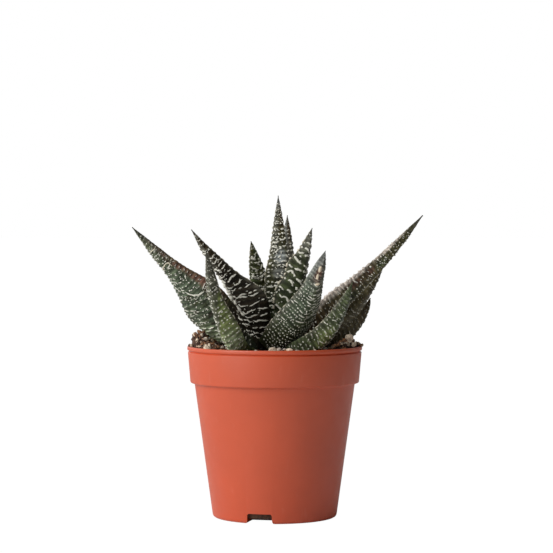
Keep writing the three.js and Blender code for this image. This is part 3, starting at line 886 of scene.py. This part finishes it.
add_leaf(
    "leaf_left_upper", root=(-3.8, -2.6, 60), bend=(-9.3, -9, 74.4), tip=(-27.9, -16, 98.4),
    width=12.8, thickness=5, taper=1.18, faces=70,
    bulges=((-1, 3.6, 0.35, 0.17), (-1, -0.4, 0.85, 0.1), (1, -1.3, 0.48, 0.2), (1, 0.4, 0.86, 0.1)),
    skin=((INK, INK, BROWN), (INK, INK, GREY)),
    patches=((0.95, 0.33, 0.55, 0.16, INK, 0.95),),
    back=pattern(pitch=(2.15, 1.5), climb=(0.3, 0.4), root_climb=(-0.8, 0.3), lines=(0.8, 0.7),
                 length=(1.2, 4.2), gap=(0.15, 0.5), width=0.66, height=0.32, wave=0.9, white=1.3,
                 start=0.1, tilt=0.15, dots=16),
    margins=((1, 0.5, 0.85, 1.1), (-1, 0.3, 0.9, 0.4)),
    streaks=((WHITE, 1.6, (0.63, 0.57), (0.58, 0.52), (0.54, 0.49)),
             (WHITE, 2.3, (0.56, 0.5), (0.52, 0.465), (0.5, 0.445)),
             (WHITE, 2.4, (0.52, 0.455), (0.47, 0.425), (0.38, 0.42)),
             (WHITE, 1.7, (0.42, 0.415), (0.34, 0.385), (0.22, 0.38)),
             (WHITE, 1.5, (0.33, 0.37), (0.25, 0.335), (0.1, 0.33)),
             (WHITE, 1.3, (0.24, 0.325), (0.17, 0.29), (0.0, 0.285))),
)
add_leaf(
    "leaf_right_long", root=(4.6, -0.4, 61.4), bend=(26, -3, 75), tip=(50.4, -4, 103.3),
    width=13.2, thickness=4.4, taper=1.5, faces=154,
    bulges=((1, 1.5, 0.36, 0.15),),
    skin=((DEEP, OLIVE, OLIVE), (BROWN, TAN, OLIVE)),
    patches=((0.61, 0.47, 0.25, 0.05, RED_BROWN, 0.2), (0.7, 0.59, 0.25, 0.035, RED_BROWN, 0.2),
             (0.2, 0.4, 0.3, 0.08, DEEP, 0), (0.5, 0.66, 0.3, 0.05, FERN, 0),
             (0, 0.97, 1, 0.08, GREY, 0.4)),
    back=pattern(pitch=(1.7, 1.5), climb=(0.3, 0.15), lines=(0.2, 0.2), length=(0.8, 2.2),
                 gap=(0.5, 1.7), width=0.56, scatter=0.6, tilt=0.4, dots=18, white=1.1),
    margins=((1, 0.05, 0.62, 1.5, PINK_CREAM), (1, 0.1, 0.6, 1.0, PINK_CREAM),
             (1, 0.6, 0.9, 0.7, PINK_CREAM)),
)
add_leaf(
    "leaf_back_upper", root=(0, 5.4, 60.6), bend=(1, 19, 68), tip=(2.9, 28, 91.1),
    width=12.4, thickness=5, taper=1.8, faces=265,
    back=pattern(pitch=(2.3, 1.7), lines=(0.7, 0.7), length=(1.6, 5)),
    margins=((-1, 0.1, 0.95, 0.5), (1, 0.1, 0.95, 0.5)),
)
add_leaf(
    "leaf_front_left", root=(-9.2, -8, 57.2), bend=(-15.8, -19, 58), tip=(-22.7, -24, 91.4),
    width=8.6, thickness=5, taper=1.7, faces=60,
    bulges=((-1, -0.7, 0.62, 0.14), (-1, 0.8, 0.36, 0.14), (1, 0.9, 0.72, 0.2)),
    skin=((LIME, LIME, RED_BROWN), (GREY_GREEN, GREY_GREEN, GREY)), seam=(1.9, -2.4, 0.15),
    row_paleness=1.3,
    # The pale green patch near the root is painted light: it lightens the root's side that turns away from
    # the softbox
    patches=((-0.35, 0.25, 0.7, 0.1, PAINTED_LIGHT_GREEN, 0),),
    back=pattern(pitch=(1.7, 1.5), climb=(0.3, 0.3), lines=(0.15, 0.2), length=(0.9, 2), gap=(0.3, 0.9),
                 width=0.6, start=0.05, dots=18, scatter=0.45, wave=0.6),
    margins=((1, 0.3, 0.95, 0.5), (-1, 0.3, 0.95, 0.4)),
)
add_leaf(
    "leaf_front_low", root=(5.6, -6.2, 57.6), bend=(17.8, -19, 59.6), tip=(25.8, -22, 80.8),
    width=12, thickness=4.6, taper=1.7, faces=130,
    skin=((LIME, FERN, FERN), (FERN, FERN, FERN)), row_paleness=1.5,
    patches=((0.1, 0.45, 0.45, 0.12, LIME, 0),),
    back=pattern(pitch=(1.7, 1.4), climb=(-0.1, 0.45), lines=(0.5, 0.45), length=(0.8, 2.2),
                 gap=(0.2, 0.7), width=0.52, height=0.24, wave=0.6, white=0.9, start=0.05, dots=14,
                 scatter=0.45, tilt=0.3, fade=(0.5, 0.9)),
    margins=((-1, 0.25, 0.9, 0.8), (1, 0.3, 0.95, 0.25)),
)
add_leaf(
    "leaf_left_long", root=(-7.4, -1, 58), bend=(-16.5, -5, 64.9), tip=(-48.3, -8, 99.2),
    width=16, thickness=6, taper=1.18, faces=58,
    bulges=((-1, 2.8, 0.42, 0.17), (1, 2.9, 0.38, 0.13), (1, -0.5, 0.67, 0.08), (1, 1.3, 0.2, 0.07)),
    skin=((FERN, RED_BROWN, GREY), (BLUE_GREEN, BLUE_GREEN, GREY_GREEN)), seam=(-0.62, -0.62, 0.15),
    dim=0.45, uneven=0.28, scallop=(0.12, 0.5),
    # Painted shade and light: the broad ink patch darkens the root where the other leaves shade it, the
    # small deep and ink patches darken the hollows between the swellings, and the pale green patch lightens
    # the shaded underside by the soil
    patches=((-0.75, 0.2, 0.5, 0.14, INK, 0.9), (-0.21, 0.39, 0.2, 0.022, DEEP, 0.7),
             (0.31, 0.39, 0.17, 0.018, DEEP, 0.7), (0.21, 0.483, 0.16, 0.016, DEEP, 0.6),
             (-0.5, 0.345, 0.2, 0.02, DEEP, 0.6), (0.3, 0.32, 0.2, 0.018, DEEP, 0.6),
             (-0.12, 0.33, 0.16, 0.014, INK, 0.6), (0.1, 0.28, 0.16, 0.014, INK, 0.6),
             (0.6, 0.3, 0.2, 0.014, DEEP, 0.5), (0.05, 0.43, 0.2, 0.012, DEEP, 0.6),
             (0.6, 0.43, 0.2, 0.014, DEEP, 0.5), (0.8, 0.22, 0.5, 0.08, PAINTED_LIGHT_GREEN, 0)),
    back=pattern(pitch=(1.7, 1.4), climb=(0.3, 0.4), apex=-0.3, lines=(0.15, 0.35), length=(0.9, 2.6),
                 gap=(0.3, 0.9), width=0.55, height=0.3, start=0.05, wave=0.9, dots=22, scatter=0.5),
    margins=((1, 0.1, 0.9, 0.35), (-1, 0.5, 0.9, 0.3, TAN)),
    streaks=((WHITE, 0.6, (0.1, 0.52), (-0.12, 0.48), (-0.3, 0.455), (-0.56, 0.447)),
             (CREAM, 0.5, (0.21, 0.824), (-0.81, 0.819)),
             (CREAM, 0.55, (0.76, 0.698), (-0.3, 0.715), (-0.56, 0.708), (-0.52, 0.68))),
)
add_leaf(
    "leaf_right_under", root=(7, 2.8, 58.2), bend=(28.3, 5.4, 70), tip=(37.9, 6.2, 87.2),
    width=13.2, thickness=4.8, taper=2, faces=126,
    bulges=((-1, -0.4, 0.74, 0.14),),
    skin=((TAN, TAN, BROWN), (BROWN, TAN, TAN)), row_paleness=1.35,
    back=pattern(pitch=(1.9, 1.6), lines=(0.5, 0.5), gap=(0.5, 1.5), width=0.45, height=0.22, white=0.5,
                 dots=10, scatter=0.4, tilt=0.3),
    margins=((1, 0.2, 0.9, 0.45), (-1, 0.2, 0.9, 0.5, TAN)),
)
add_leaf(
    "leaf_back_left", root=(-4, 4.8, 59.4), bend=(-7.6, 17, 63), tip=(-14.2, 24, 81),
    width=12, thickness=4.8, taper=1.7, faces=305,
    back=pattern(pitch=(1.7, 1.4), lines=(0.3, 0.3)),
)
add_leaf(
    "leaf_back_right", root=(5, 5, 59.4), bend=(11, 18, 62), tip=(13.2, 25, 78.7),
    width=12, thickness=4.8, taper=1.7, faces=245,
    skin=((DEEP, FOREST, MOSS), (DEEP, MOSS, GREY_GREEN)),
    back=pattern(pitch=(1.9, 1.5), lines=(0.6, 0.6)),
)
add_leaf(
    "leaf_right_low", root=(8, 5.2, 57.2), bend=(25.8, 9.8, 58.2), tip=(33.2, 11, 74.6),
    width=13, thickness=4.2, taper=2.2, faces=170,
    skin=((TAN, OLIVE, TAN), (BROWN, TAN, BROWN)), row_paleness=1.35,
    back=pattern(pitch=(1.8, 1.5), lines=(0.4, 0.4), gap=(0.6, 1.6), width=0.45, height=0.22, white=0.5,
                 dots=10, scatter=0.4, tilt=0.3),
    margins=((1, 0.2, 0.9, 0.4, TAN), (-1, 0.2, 0.9, 0.4, TAN)),
)
add_leaf(
    "leaf_left_low", root=(-7.4, 3, 57.6), bend=(-20, 10.4, 60.5), tip=(-28.6, 15, 77.2),
    width=11.4, thickness=4.6, taper=1.7, faces=332,
    back=pattern(pitch=(1.7, 1.4), lines=(0.35, 0.35)),
)
add_leaf(
    "leaf_right_behind", root=(6.8, 7.2, 57.2), bend=(21, 14, 61), tip=(29.6, 15, 78),
    width=10.8, thickness=4.4, taper=1.7, faces=215,
    skin=((DEEP, OLIVE, BROWN), (DEEP, OLIVE, GREY_GREEN)),
    back=pattern(pitch=(1.8, 1.5), lines=(0.5, 0.5)),
)
add_leaf(
    "leaf_back_low", root=(-1.2, 8.4, 57), bend=(-3, 22.5, 59.5), tip=(-4.6, 30, 73.2),
    width=12, thickness=4.6, taper=1.7, faces=275,
    skin=((DEEP, FOREST, MOSS), (DEEP, FOREST, MOSS)),
    back=pattern(pitch=(1.9, 1.5), lines=(0.6, 0.6)),
    margins=((-1, 0.1, 0.95, 0.5), (1, 0.1, 0.95, 0.5)),
)


def unit(vectors):
    return vectors / np.linalg.norm(vectors, axis=-1, keepdims=True)


class LeafSurface:
    """A leaf's skin as a grid over phi, the turn round the leaf, and t, the share of its length.
    The back is phi from 0 to pi and the upper face the rest; s = -cos(phi) runs from margin to margin."""

    def __init__(self, leaf, seed):
        self.leaf, self.seed = leaf, seed
        self.t = np.linspace(0, 1, SKIN_ROWS + 1)
        self.set_midline()
        self.rows = {side: self.row_starts(leaf[side]) for side in ("back", "face")}
        phi, t = np.meshgrid(np.arange(SKIN_SIDES) * 2 * math.pi / SKIN_SIDES, self.t)
        self.points = self.shape(phi, t)
        self.set_normals()
        self.tints = self.skin_tints(phi, t)

    def set_midline(self):
        root, bend, tip = (np.array(self.leaf[k], float) for k in ("root", "bend", "tip"))
        u = np.linspace(0, 1, CURVE_STEPS + 1)[:, None]
        curve = root * (1 - u) ** 2 + bend * 2 * u * (1 - u) + tip * u ** 2
        slope = (bend - root) * 2 * (1 - u) + (tip - bend) * 2 * u
        lengths = np.concatenate([[0], np.cumsum(np.linalg.norm(np.diff(curve, axis=0), axis=1))])
        self.length = lengths[-1]

        def spaced(values):
            share = lengths / self.length
            return np.stack([np.interp(self.t, share, values[:, k]) for k in range(3)], axis=1)

        self.line, along = spaced(curve), unit(spaced(slope))
        angle = math.radians(self.leaf["faces"])
        looks = np.array([math.cos(angle), math.sin(angle), 0])
        self.up = unit(looks - along * (along @ looks)[:, None])
        self.side = np.cross(along, self.up)

    def size(self, t):
        """Half width and thickness."""
        leaf = self.leaf
        root = lerp(ROOT_SHARE, 1, ease(0, SHOULDER, t))
        taper = np.maximum(0, 1 - t ** leaf["taper"]) ** TIP_FULLNESS
        half = np.maximum(TIP_HALF_WIDTH, leaf["width"] / 2 * root * taper)
        depth = np.maximum(TIP_THICKNESS, leaf["thickness"] * root ** 0.5 * taper ** 0.8)
        return half, depth

    def bulge(self, s, t):
        """How far a margin stands out over a stretch of the leaf."""
        out = np.zeros_like(s)
        for side, rise, middle, spread in self.leaf["bulges"]:
            out = out + rise * np.exp(-((t - middle) / spread) ** 2) * (s * side > 0)
        return out

    def row_starts(self, marks):
        """Arc lengths of the rows of tubercles along the keel."""
        rng = np.random.default_rng(self.seed)
        places, at = [], marks["start"] * self.length
        while at < self.length * ROW_END:
            places.append(at)
            at += lerp(*marks["pitch"], at / self.length) * rng.uniform(*ROW_SPREAD)
        return np.array(places)

    def row_offset(self, marks, s, t):
        """How far along the leaf a row runs ahead of its place on the keel."""
        half, _ = self.size(t)
        low, high = marks["climb"]
        if marks["root_climb"]:
            share = ease(*ROOT_CLIMB_RANGE, t)
            low, high = (lerp(a, b, share) for a, b in zip(marks["root_climb"], (low, high)))
        across = s - marks["apex"]
        return np.where(across < 0, low, high) * np.sqrt(across * across + ROW_BEND) * half

    def reach(self, side, t):
        """The half width, and the way from a margin to the keel or to the face's middle."""
        half, depth = self.size(np.array(t))
        return half, math.hypot(half, depth * KEEL_REACH if side == "back" else 0)

    def ripple(self, side, s, t):
        """1 on a row of tubercles and 0 between rows."""
        starts = self.rows[side]
        at = t * self.length - self.row_offset(self.leaf[side], s, t)
        index = np.interp(at, starts, np.arange(len(starts)))
        on = (0.5 + 0.5 * np.cos(index * 2 * math.pi)) ** RIPPLE_POWER
        return on * ease(*RIPPLE_RISE, t) * ease(*RIPPLE_END, t)

    def shape(self, phi, t):
        """Points of the skin: a keeled back, a nearly flat face, the rows and the unevenness."""
        s = -np.cos(phi)
        back = phi <= BACK_END
        half, depth = self.size(t)
        turn = np.sqrt(s * s + KEEL_ROUNDING ** 2) - KEEL_ROUNDING
        wedge = 1 - turn / (math.sqrt(1 + KEEL_ROUNDING ** 2) - KEEL_ROUNDING)
        edge = MARGIN_THICKNESS * np.minimum(1, half / MARGIN_NARROW)
        edge = edge * np.sqrt(np.maximum(0, 1 - np.abs(s) ** MARGIN_POWER))
        keel = lerp(1 - s * s, wedge, lerp(*KEEL_SHARPNESS, t))
        below = -depth * keel * BACK_DEPTH - edge * MARGIN_BACK
        above = depth * FACE_CROWN * (1 - s * s) + edge
        thin = np.minimum(1, half / SKIN_NARROW)
        ripple = np.where(back, self.ripple("back", s, t), self.ripple("face", s, t))
        spots = np.stack([s * half, np.where(back, 0.0, FACE_APART[0]), t * self.length], axis=-1)
        layers = [(size, self.seed + more, strength) for size, more, strength in SKIN_BUMPS]
        bumps = layered_noise(spots, layers) * self.leaf["uneven"]
        rise = (ripple * RIPPLE + bumps) * thin * (1 - s * s) ** 0.25
        n = np.where(back, below - rise, above + rise)
        scallop = np.where(s < 0, *self.leaf["scallop"]) * (self.ripple("back", s, t) - 0.4) * thin
        w = s * (half + self.bulge(s, t) + scallop * np.abs(s) ** 4)
        rows = np.clip(np.round(t * SKIN_ROWS).astype(int), 0, SKIN_ROWS)
        return self.line[rows] + self.side[rows] * w[..., None] + self.up[rows] * n[..., None]

    def set_normals(self):
        p = self.points
        along = np.gradient(p, axis=0)
        around = np.roll(p, -1, axis=1) - np.roll(p, 1, axis=1)
        self.normals = unit(np.cross(around, along) + 1e-12)
        middle = p.mean(axis=1, keepdims=True)
        if ((p - middle) * self.normals).sum(-1).mean() < 0:
            self.normals = -self.normals

    def skin_tints(self, phi, t):
        """Skin colours: zones, patches, paler margins and rows, and blotches."""
        s = -np.cos(phi)
        leaf = self.leaf
        spots = np.stack([s * 4, np.where(phi > math.pi, FACE_APART[1], 0.0), t * self.length / 3], axis=-1)
        drift = smooth_noise(spots, self.seed + 5)
        low, high = (self.zone(colours, t + drift * DRIFT_ALONG) for colours in leaf["skin"])
        tints = blend(low, high, self.beyond_seam(s + drift * DRIFT_ACROSS, t))
        patched = (phi <= BACK_END) == (leaf["patch_side"] == "back")
        for patch in leaf["patches"]:
            tints = blend(tints, patch[4], self.patch_share(patch, s + drift * DRIFT_OF_PATCH, t) * patched)
        for side, first, last, _, *colour in leaf["margins"]:
            near = ease(*MARGIN_EDGE, s * side + drift * 0.08)
            near = near * ease(first, first + 0.1, t) * ease(last, last - 0.1, t)
            tints = blend(tints, colour[0] if colour else GREY, near * MARGIN_PALE)
        between = 1 - np.where(phi > math.pi, self.ripple("face", s, t), self.ripple("back", s, t))
        blotch = 1 + BLOTCHES * smooth_noise(spots * np.array([1, 1, 2.3]) + 9, self.seed + 6)
        pale = leaf["row_paleness"]
        return tints * (blotch * (pale - (pale - BETWEEN_ROWS) * between))[..., None]

    def beyond_seam(self, s, t):
        """0 where the skin has its first colours, 1 where it has the second."""
        at_root, at_tip, width = self.leaf["seam"]
        return ease(-width, width, s - lerp(at_root, at_tip, t))

    def patch_share(self, patch, s, t):
        """How far a place lies in a patch of another colour: 1 in its middle."""
        across, along, wide, long = patch[:4]
        return np.exp(-(((s - across) / wide) ** 2 + ((t - along) / long) ** 2) ** 1.5)

    def bareness(self, side, s, t):
        """The chance that a mark is left out, from the bare patches."""
        if side != self.leaf["patch_side"]:
            return 0
        return max([patch[5] * self.patch_share(patch, s, t) for patch in self.leaf["patches"]], default=0)

    def zone(self, colours, t):
        root, middle, tip = colours
        lower = blend(root, middle, ease(*LOWER_CHANGE, t))
        return blend(lower, tip, ease(*UPPER_CHANGE, t))

    def at(self, phi, t):
        """Points, normals and skin colours at phi and t, from the grid."""
        column = np.mod(phi, 2 * math.pi) / (2 * math.pi) * SKIN_SIDES
        row = np.clip(t, 0, 0.9999) * SKIN_ROWS
        c, r = np.floor(column).astype(int), np.floor(row).astype(int)
        cf, rf = (column - c)[:, None], (row - r)[:, None]
        c0, c1 = c % SKIN_SIDES, (c + 1) % SKIN_SIDES

        def pick(grid):
            low = grid[r, c0] * (1 - cf) + grid[r, c1] * cf
            high = grid[r + 1, c0] * (1 - cf) + grid[r + 1, c1] * cf
            return low * (1 - rf) + high * rf

        return pick(self.points), unit(pick(self.normals)), pick(self.tints)

    def skin_piece(self, material):
        points, tints = self.points.reshape(-1, 3), self.tints.reshape(-1, 3)
        faces = ring_faces(SKIN_ROWS + 1, SKIN_SIDES)
        skin = mesh_piece(self.leaf["name"] + "_skin", points, faces, material, tints)
        skin.data.validate()
        face_outward(skin.data)
        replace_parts(skin, self.leaf["name"])


def phi_at(side, s):
    phi = np.arccos(-np.clip(s, -1, 1))
    return phi if side == "back" else 2 * math.pi - phi


def beaded(along, phase, middle, swell, rough, size, seed):
    """The thickness of a line along its length, as a share: beads with some unevenness."""
    beads = middle + swell * np.sin(along / BEAD_PITCH * 2 * math.pi + phase * 3)
    return beads + rough * line_noise(along / size + phase, seed)


class Tubercles:
    """The raised marks of one leaf, as closed strips that follow its skin."""

    def __init__(self, surface, seed):
        self.surface, self.leaf = surface, surface.leaf
        self.rng = np.random.default_rng(seed)
        self.heap = Heap()

    def strip(self, phi, t, width, height, colour, whiteness, taper=4):
        points, normals, skin = self.surface.at(phi, t)
        along = unit(np.gradient(points, axis=0) + 1e-12)
        across = unit(np.cross(normals, along) + 1e-12)
        u = np.linspace(-1, 1, len(phi))
        end = np.maximum(STROKE_END, np.sqrt(np.maximum(0, 1 - np.abs(u) ** taper)))
        wide = (width * end / 2)[:, None]
        tall = (height * end ** 0.7)[:, None]
        rings, tints = [], []
        for (c, h), tint in zip(STROKE_SECTION, SECTION_TINT):
            rings.append(points + across * c * wide + normals * h * tall)
            tints.append(blend(skin, colour, tint * np.clip(whiteness * end ** 0.3, 0, 1)))
        points, tints = (np.stack(values, axis=1).reshape(-1, 3) for values in (rings, tints))
        self.heap.add(points, ring_faces(len(phi), len(STROKE_SECTION)), tints)

    def rows(self, side):
        """Walks across each row, laying lines, dots and gaps."""
        surface, marks, rng = self.surface, self.leaf[side], self.rng
        for number, start in enumerate(surface.rows[side]):
            t_keel = start / surface.length
            half, reach = surface.reach(side, t_keel)
            if reach < LEAST_REACH:
                continue
            thin = min(1, half / MARK_NARROW)
            lined = ease(marks["dotted"], marks["dotted"] + 0.15, t_keel)
            at = ROW_FIRST + rng.uniform(0, 0.1)
            phase = number * ROW_PHASE + surface.seed
            while at < ROW_LAST:
                line = rng.uniform() < marks["lines"][0 if at < 0 else 1] * lined
                size = rng.uniform(*marks["length"]) if line else marks["width"] * rng.uniform(*DOT_SIZES)
                stop = min(ROW_STOP, at + size * max(thin, LEAST_LENGTH) / reach)
                if stop > at and rng.uniform() > surface.bareness(side, (at + stop) / 2, t_keel):
                    self.stroke(side, start, at, stop, reach, thin, phase)
                at = stop + rng.uniform(*marks["gap"]) * max(thin, LEAST_SIZE) / reach

    def stroke(self, side, start, first, last, reach, thin, phase):
        """One line or dot of a row, from one s to another."""
        surface, marks, rng = self.surface, self.leaf[side], self.rng
        steps = max(4, int((last - first) * reach / STROKE_STEP) + 2)
        s = np.linspace(first, last, steps)
        along = s * reach
        offset = surface.row_offset(marks, s, np.full(steps, start / surface.length))
        wavy = 0
        for size, seed, strength, change in WAVES:
            wavy += line_noise(along / size + phase * change, seed) * marks["wave"] * strength
        wavy += rng.uniform(-1, 1) * marks["scatter"]
        wavy += (s - (first + last) / 2) * reach * rng.uniform(-1, 1) * marks["tilt"]
        t = (start + offset + wavy) / surface.length
        if t.min() < MARKED[0] or t.max() > MARKED[1]:
            return
        beads = beaded(along, phase, *LINE_BEADS)
        scale = rng.uniform(*LINE_SIZES) * max(thin, LEAST_SIZE)
        width, height = (marks[key] * scale * beads for key in ("width", "height"))
        white = marks["white"] * rng.uniform(*LINE_WHITES) * self.fading(marks, s.mean(), t.mean())
        self.strip(phi_at(side, s), t, width, height, WHITE, white)

    def dots(self, side):
        """Small beads between the rows."""
        surface, marks, rng = self.surface, self.leaf[side], self.rng
        area = surface.length * self.leaf["width"] / 100
        for _ in range(int(marks["dots"] * area)):
            s, t = rng.uniform(*DOTS_ACROSS), rng.uniform(marks["start"], DOTS_END)
            half, reach = surface.reach(side, t)
            thin = min(1, half / MARK_NARROW)
            size = marks["width"] * rng.uniform(*BEAD_SIZES) * max(thin, LEAST_SIZE)
            spread = np.linspace(-0.5, 0.5, 4) * size
            turn = rng.uniform(0, math.pi)
            phi = phi_at(side, s + spread * math.cos(turn) / reach)
            along = np.clip(t + spread * math.sin(turn) / surface.length, 0.02, 0.97)
            white = marks["white"] * rng.uniform(*BEAD_WHITES) * self.fading(marks, s, t)
            self.strip(phi, along, size * 0.9, marks["height"] * 0.8, WHITE, white)

    def fading(self, marks, s, t):
        """How strong a mark is: weaker towards the tip, and on the first colour of a dim leaf."""
        dim = self.leaf["dim"] * (1 - self.surface.beyond_seam(s, t))
        return (1 - dim) * (1 - 0.8 * float(ease(*marks["fade"], t)))

    def streak(self, colour, width, *places):
        """A single raised line on the back through the given places, each an s and a t."""
        bends = np.linspace(0, 1, len(places))
        steps = np.linspace(0, 1, 4 * len(places) + 3)
        s, t = (np.interp(steps, bends, [place[k] for place in places]) for k in (0, 1))
        s = np.clip(s + line_noise(steps * 5 + s[0] * 9, 23) * 0.06, -0.97, 0.97)
        beads = 1 + 0.45 * line_noise(steps * 12 + t[0] * 40, 24)
        self.strip(phi_at("back", s), t, width * beads, width * 0.4 * beads, colour, 0.95, taper=2.5)

    def margin(self, side, first, last, width, colour=CREAM):
        """A broken row of beads along a margin."""
        surface, rng = self.surface, self.rng
        at = first * surface.length
        while at < last * surface.length:
            size = rng.uniform(*MARGIN_SIZES)
            steps = max(4, int(size / STROKE_STEP) + 2)
            t = np.linspace(at, at + size, steps) / surface.length
            half, _ = surface.size(t)
            phi = (0 if side < 0 else math.pi) + line_noise(t * surface.length / 1.3, 31) * 0.12
            if t.max() < 0.98:
                thin = np.minimum(1, half / MARK_NARROW)
                beads = beaded(t * surface.length, 0, *MARGIN_BEADS)
                white = rng.uniform(0.6, 1.0)
                self.strip(phi, t, width * beads * thin, width * 0.42 * beads * thin, colour, white)
            at += size + rng.uniform(*MARGIN_GAPS)

    def piece(self, material):
        if self.heap.count:
            self.heap.piece(self.leaf["name"] + "_tubercles", material, "leaf")


def build_leaves():
    skin, marks = leaf_skin_material(), tubercle_material()
    for number, leaf in enumerate(LEAVES):
        surface = LeafSurface(leaf, SKIN_SEED + number * SEEDS_APART)
        surface.skin_piece(skin)
        tubercles = Tubercles(surface, MARK_SEED + number)
        for lay in (tubercles.rows, tubercles.dots):
            for side in ("back", "face"):
                lay(side)
        for streak in leaf["streaks"]:
            tubercles.streak(*streak)
        for margin in leaf["margins"]:
            tubercles.margin(*margin)
        tubercles.piece(marks)


def build_stem():
    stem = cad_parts["stem"]
    stem.data.materials.clear()
    stem.data.materials.append(stem_material())


def build_camera():
    data = bpy.data.cameras.new("camera")
    data.sensor_width = SENSOR
    data.lens = FOCAL_PIXELS * SENSOR / IMAGE_PIXELS
    data.clip_end = VIEW_END
    camera = new_object("camera", data)
    camera.location = (CAMERA_SIDE * MM, -CAMERA_DISTANCE * MM, CAMERA_HEIGHT * MM)
    camera.rotation_euler = (math.pi / 2 - CAMERA_PITCH, 0, 0)
    bpy.context.scene.camera = camera


def build_key_light():
    data = bpy.data.lights.new("softbox", "AREA")
    data.shape = "RECTANGLE"
    data.size, data.size_y = (side * MM for side in KEY_SIZE)
    data.energy = KEY_POWER
    light = new_object("softbox", data)
    azimuth, elevation = math.radians(KEY_AZIMUTH), math.radians(KEY_ELEVATION)
    away = np.array([
        -math.sin(azimuth) * math.cos(elevation),
        -math.cos(azimuth) * math.cos(elevation),
        math.sin(elevation),
    ])
    light.location = away * KEY_DISTANCE * MM + np.array([0, 0, KEY_AIM * MM])
    light.rotation_euler = (math.pi / 2 - elevation, 0, -azimuth)


def build_room():
    """The world: white to the camera, and as light dim in front and bright behind."""
    world = bpy.data.worlds.new("room")
    bpy.context.scene.world = world
    room = Nodes(world)
    place = room.add("ShaderNodeTexCoord").outputs["Generated"]
    split = room.add("ShaderNodeSeparateXYZ", place).outputs
    depth = room.span(split["Y"], *FRONT_TO_BACK, ROOM_FRONT, ROOM_BACK)
    sides = room.span(split["X"], *LEFT_TO_RIGHT, ROOM_LEFT, ROOM_RIGHT)
    choose = room.add("ShaderNodeMix", room.seen())
    room.feed(choose.inputs[2], room.product(depth, sides))
    room.feed(choose.inputs[3], 1)
    background = room.nodes["Background"].inputs
    room.feed(background["Color"], (1, 1, 1))
    room.feed(background["Strength"], choose.outputs[0])


def build_floor():
    """A white table, nearly shadowless to the camera."""
    half = FLOOR_SIZE / 2
    corners = [(-half, -half, 0), (half, -half, 0), (half, half, 0), (-half, half, 0)]
    floor = new_object("floor", new_mesh("floor", corners, [(0, 1, 2, 3)]))
    floor.location.z = -FLOOR_DROP * MM
    material = bpy.data.materials.new("table_white")
    table = Nodes(material)
    table.nodes.clear()
    diffuse = table.add("ShaderNodeBsdfDiffuse", FLOOR_WHITE).outputs[0]
    glow = table.add("ShaderNodeEmission", Strength=FLOOR_GLOW).outputs[0]
    share = table.product(table.seen(), FLOOR_GLOW_SHARE)
    table.add("ShaderNodeOutputMaterial", table.add("ShaderNodeMixShader", share, diffuse, glow).outputs[0])
    floor.data.materials.append(material)


bpy.context.scene.view_settings.view_transform = "Standard"
build_camera()
build_room()
build_key_light()
build_floor()
build_pot()
build_soil()
build_stem()
build_leaves()
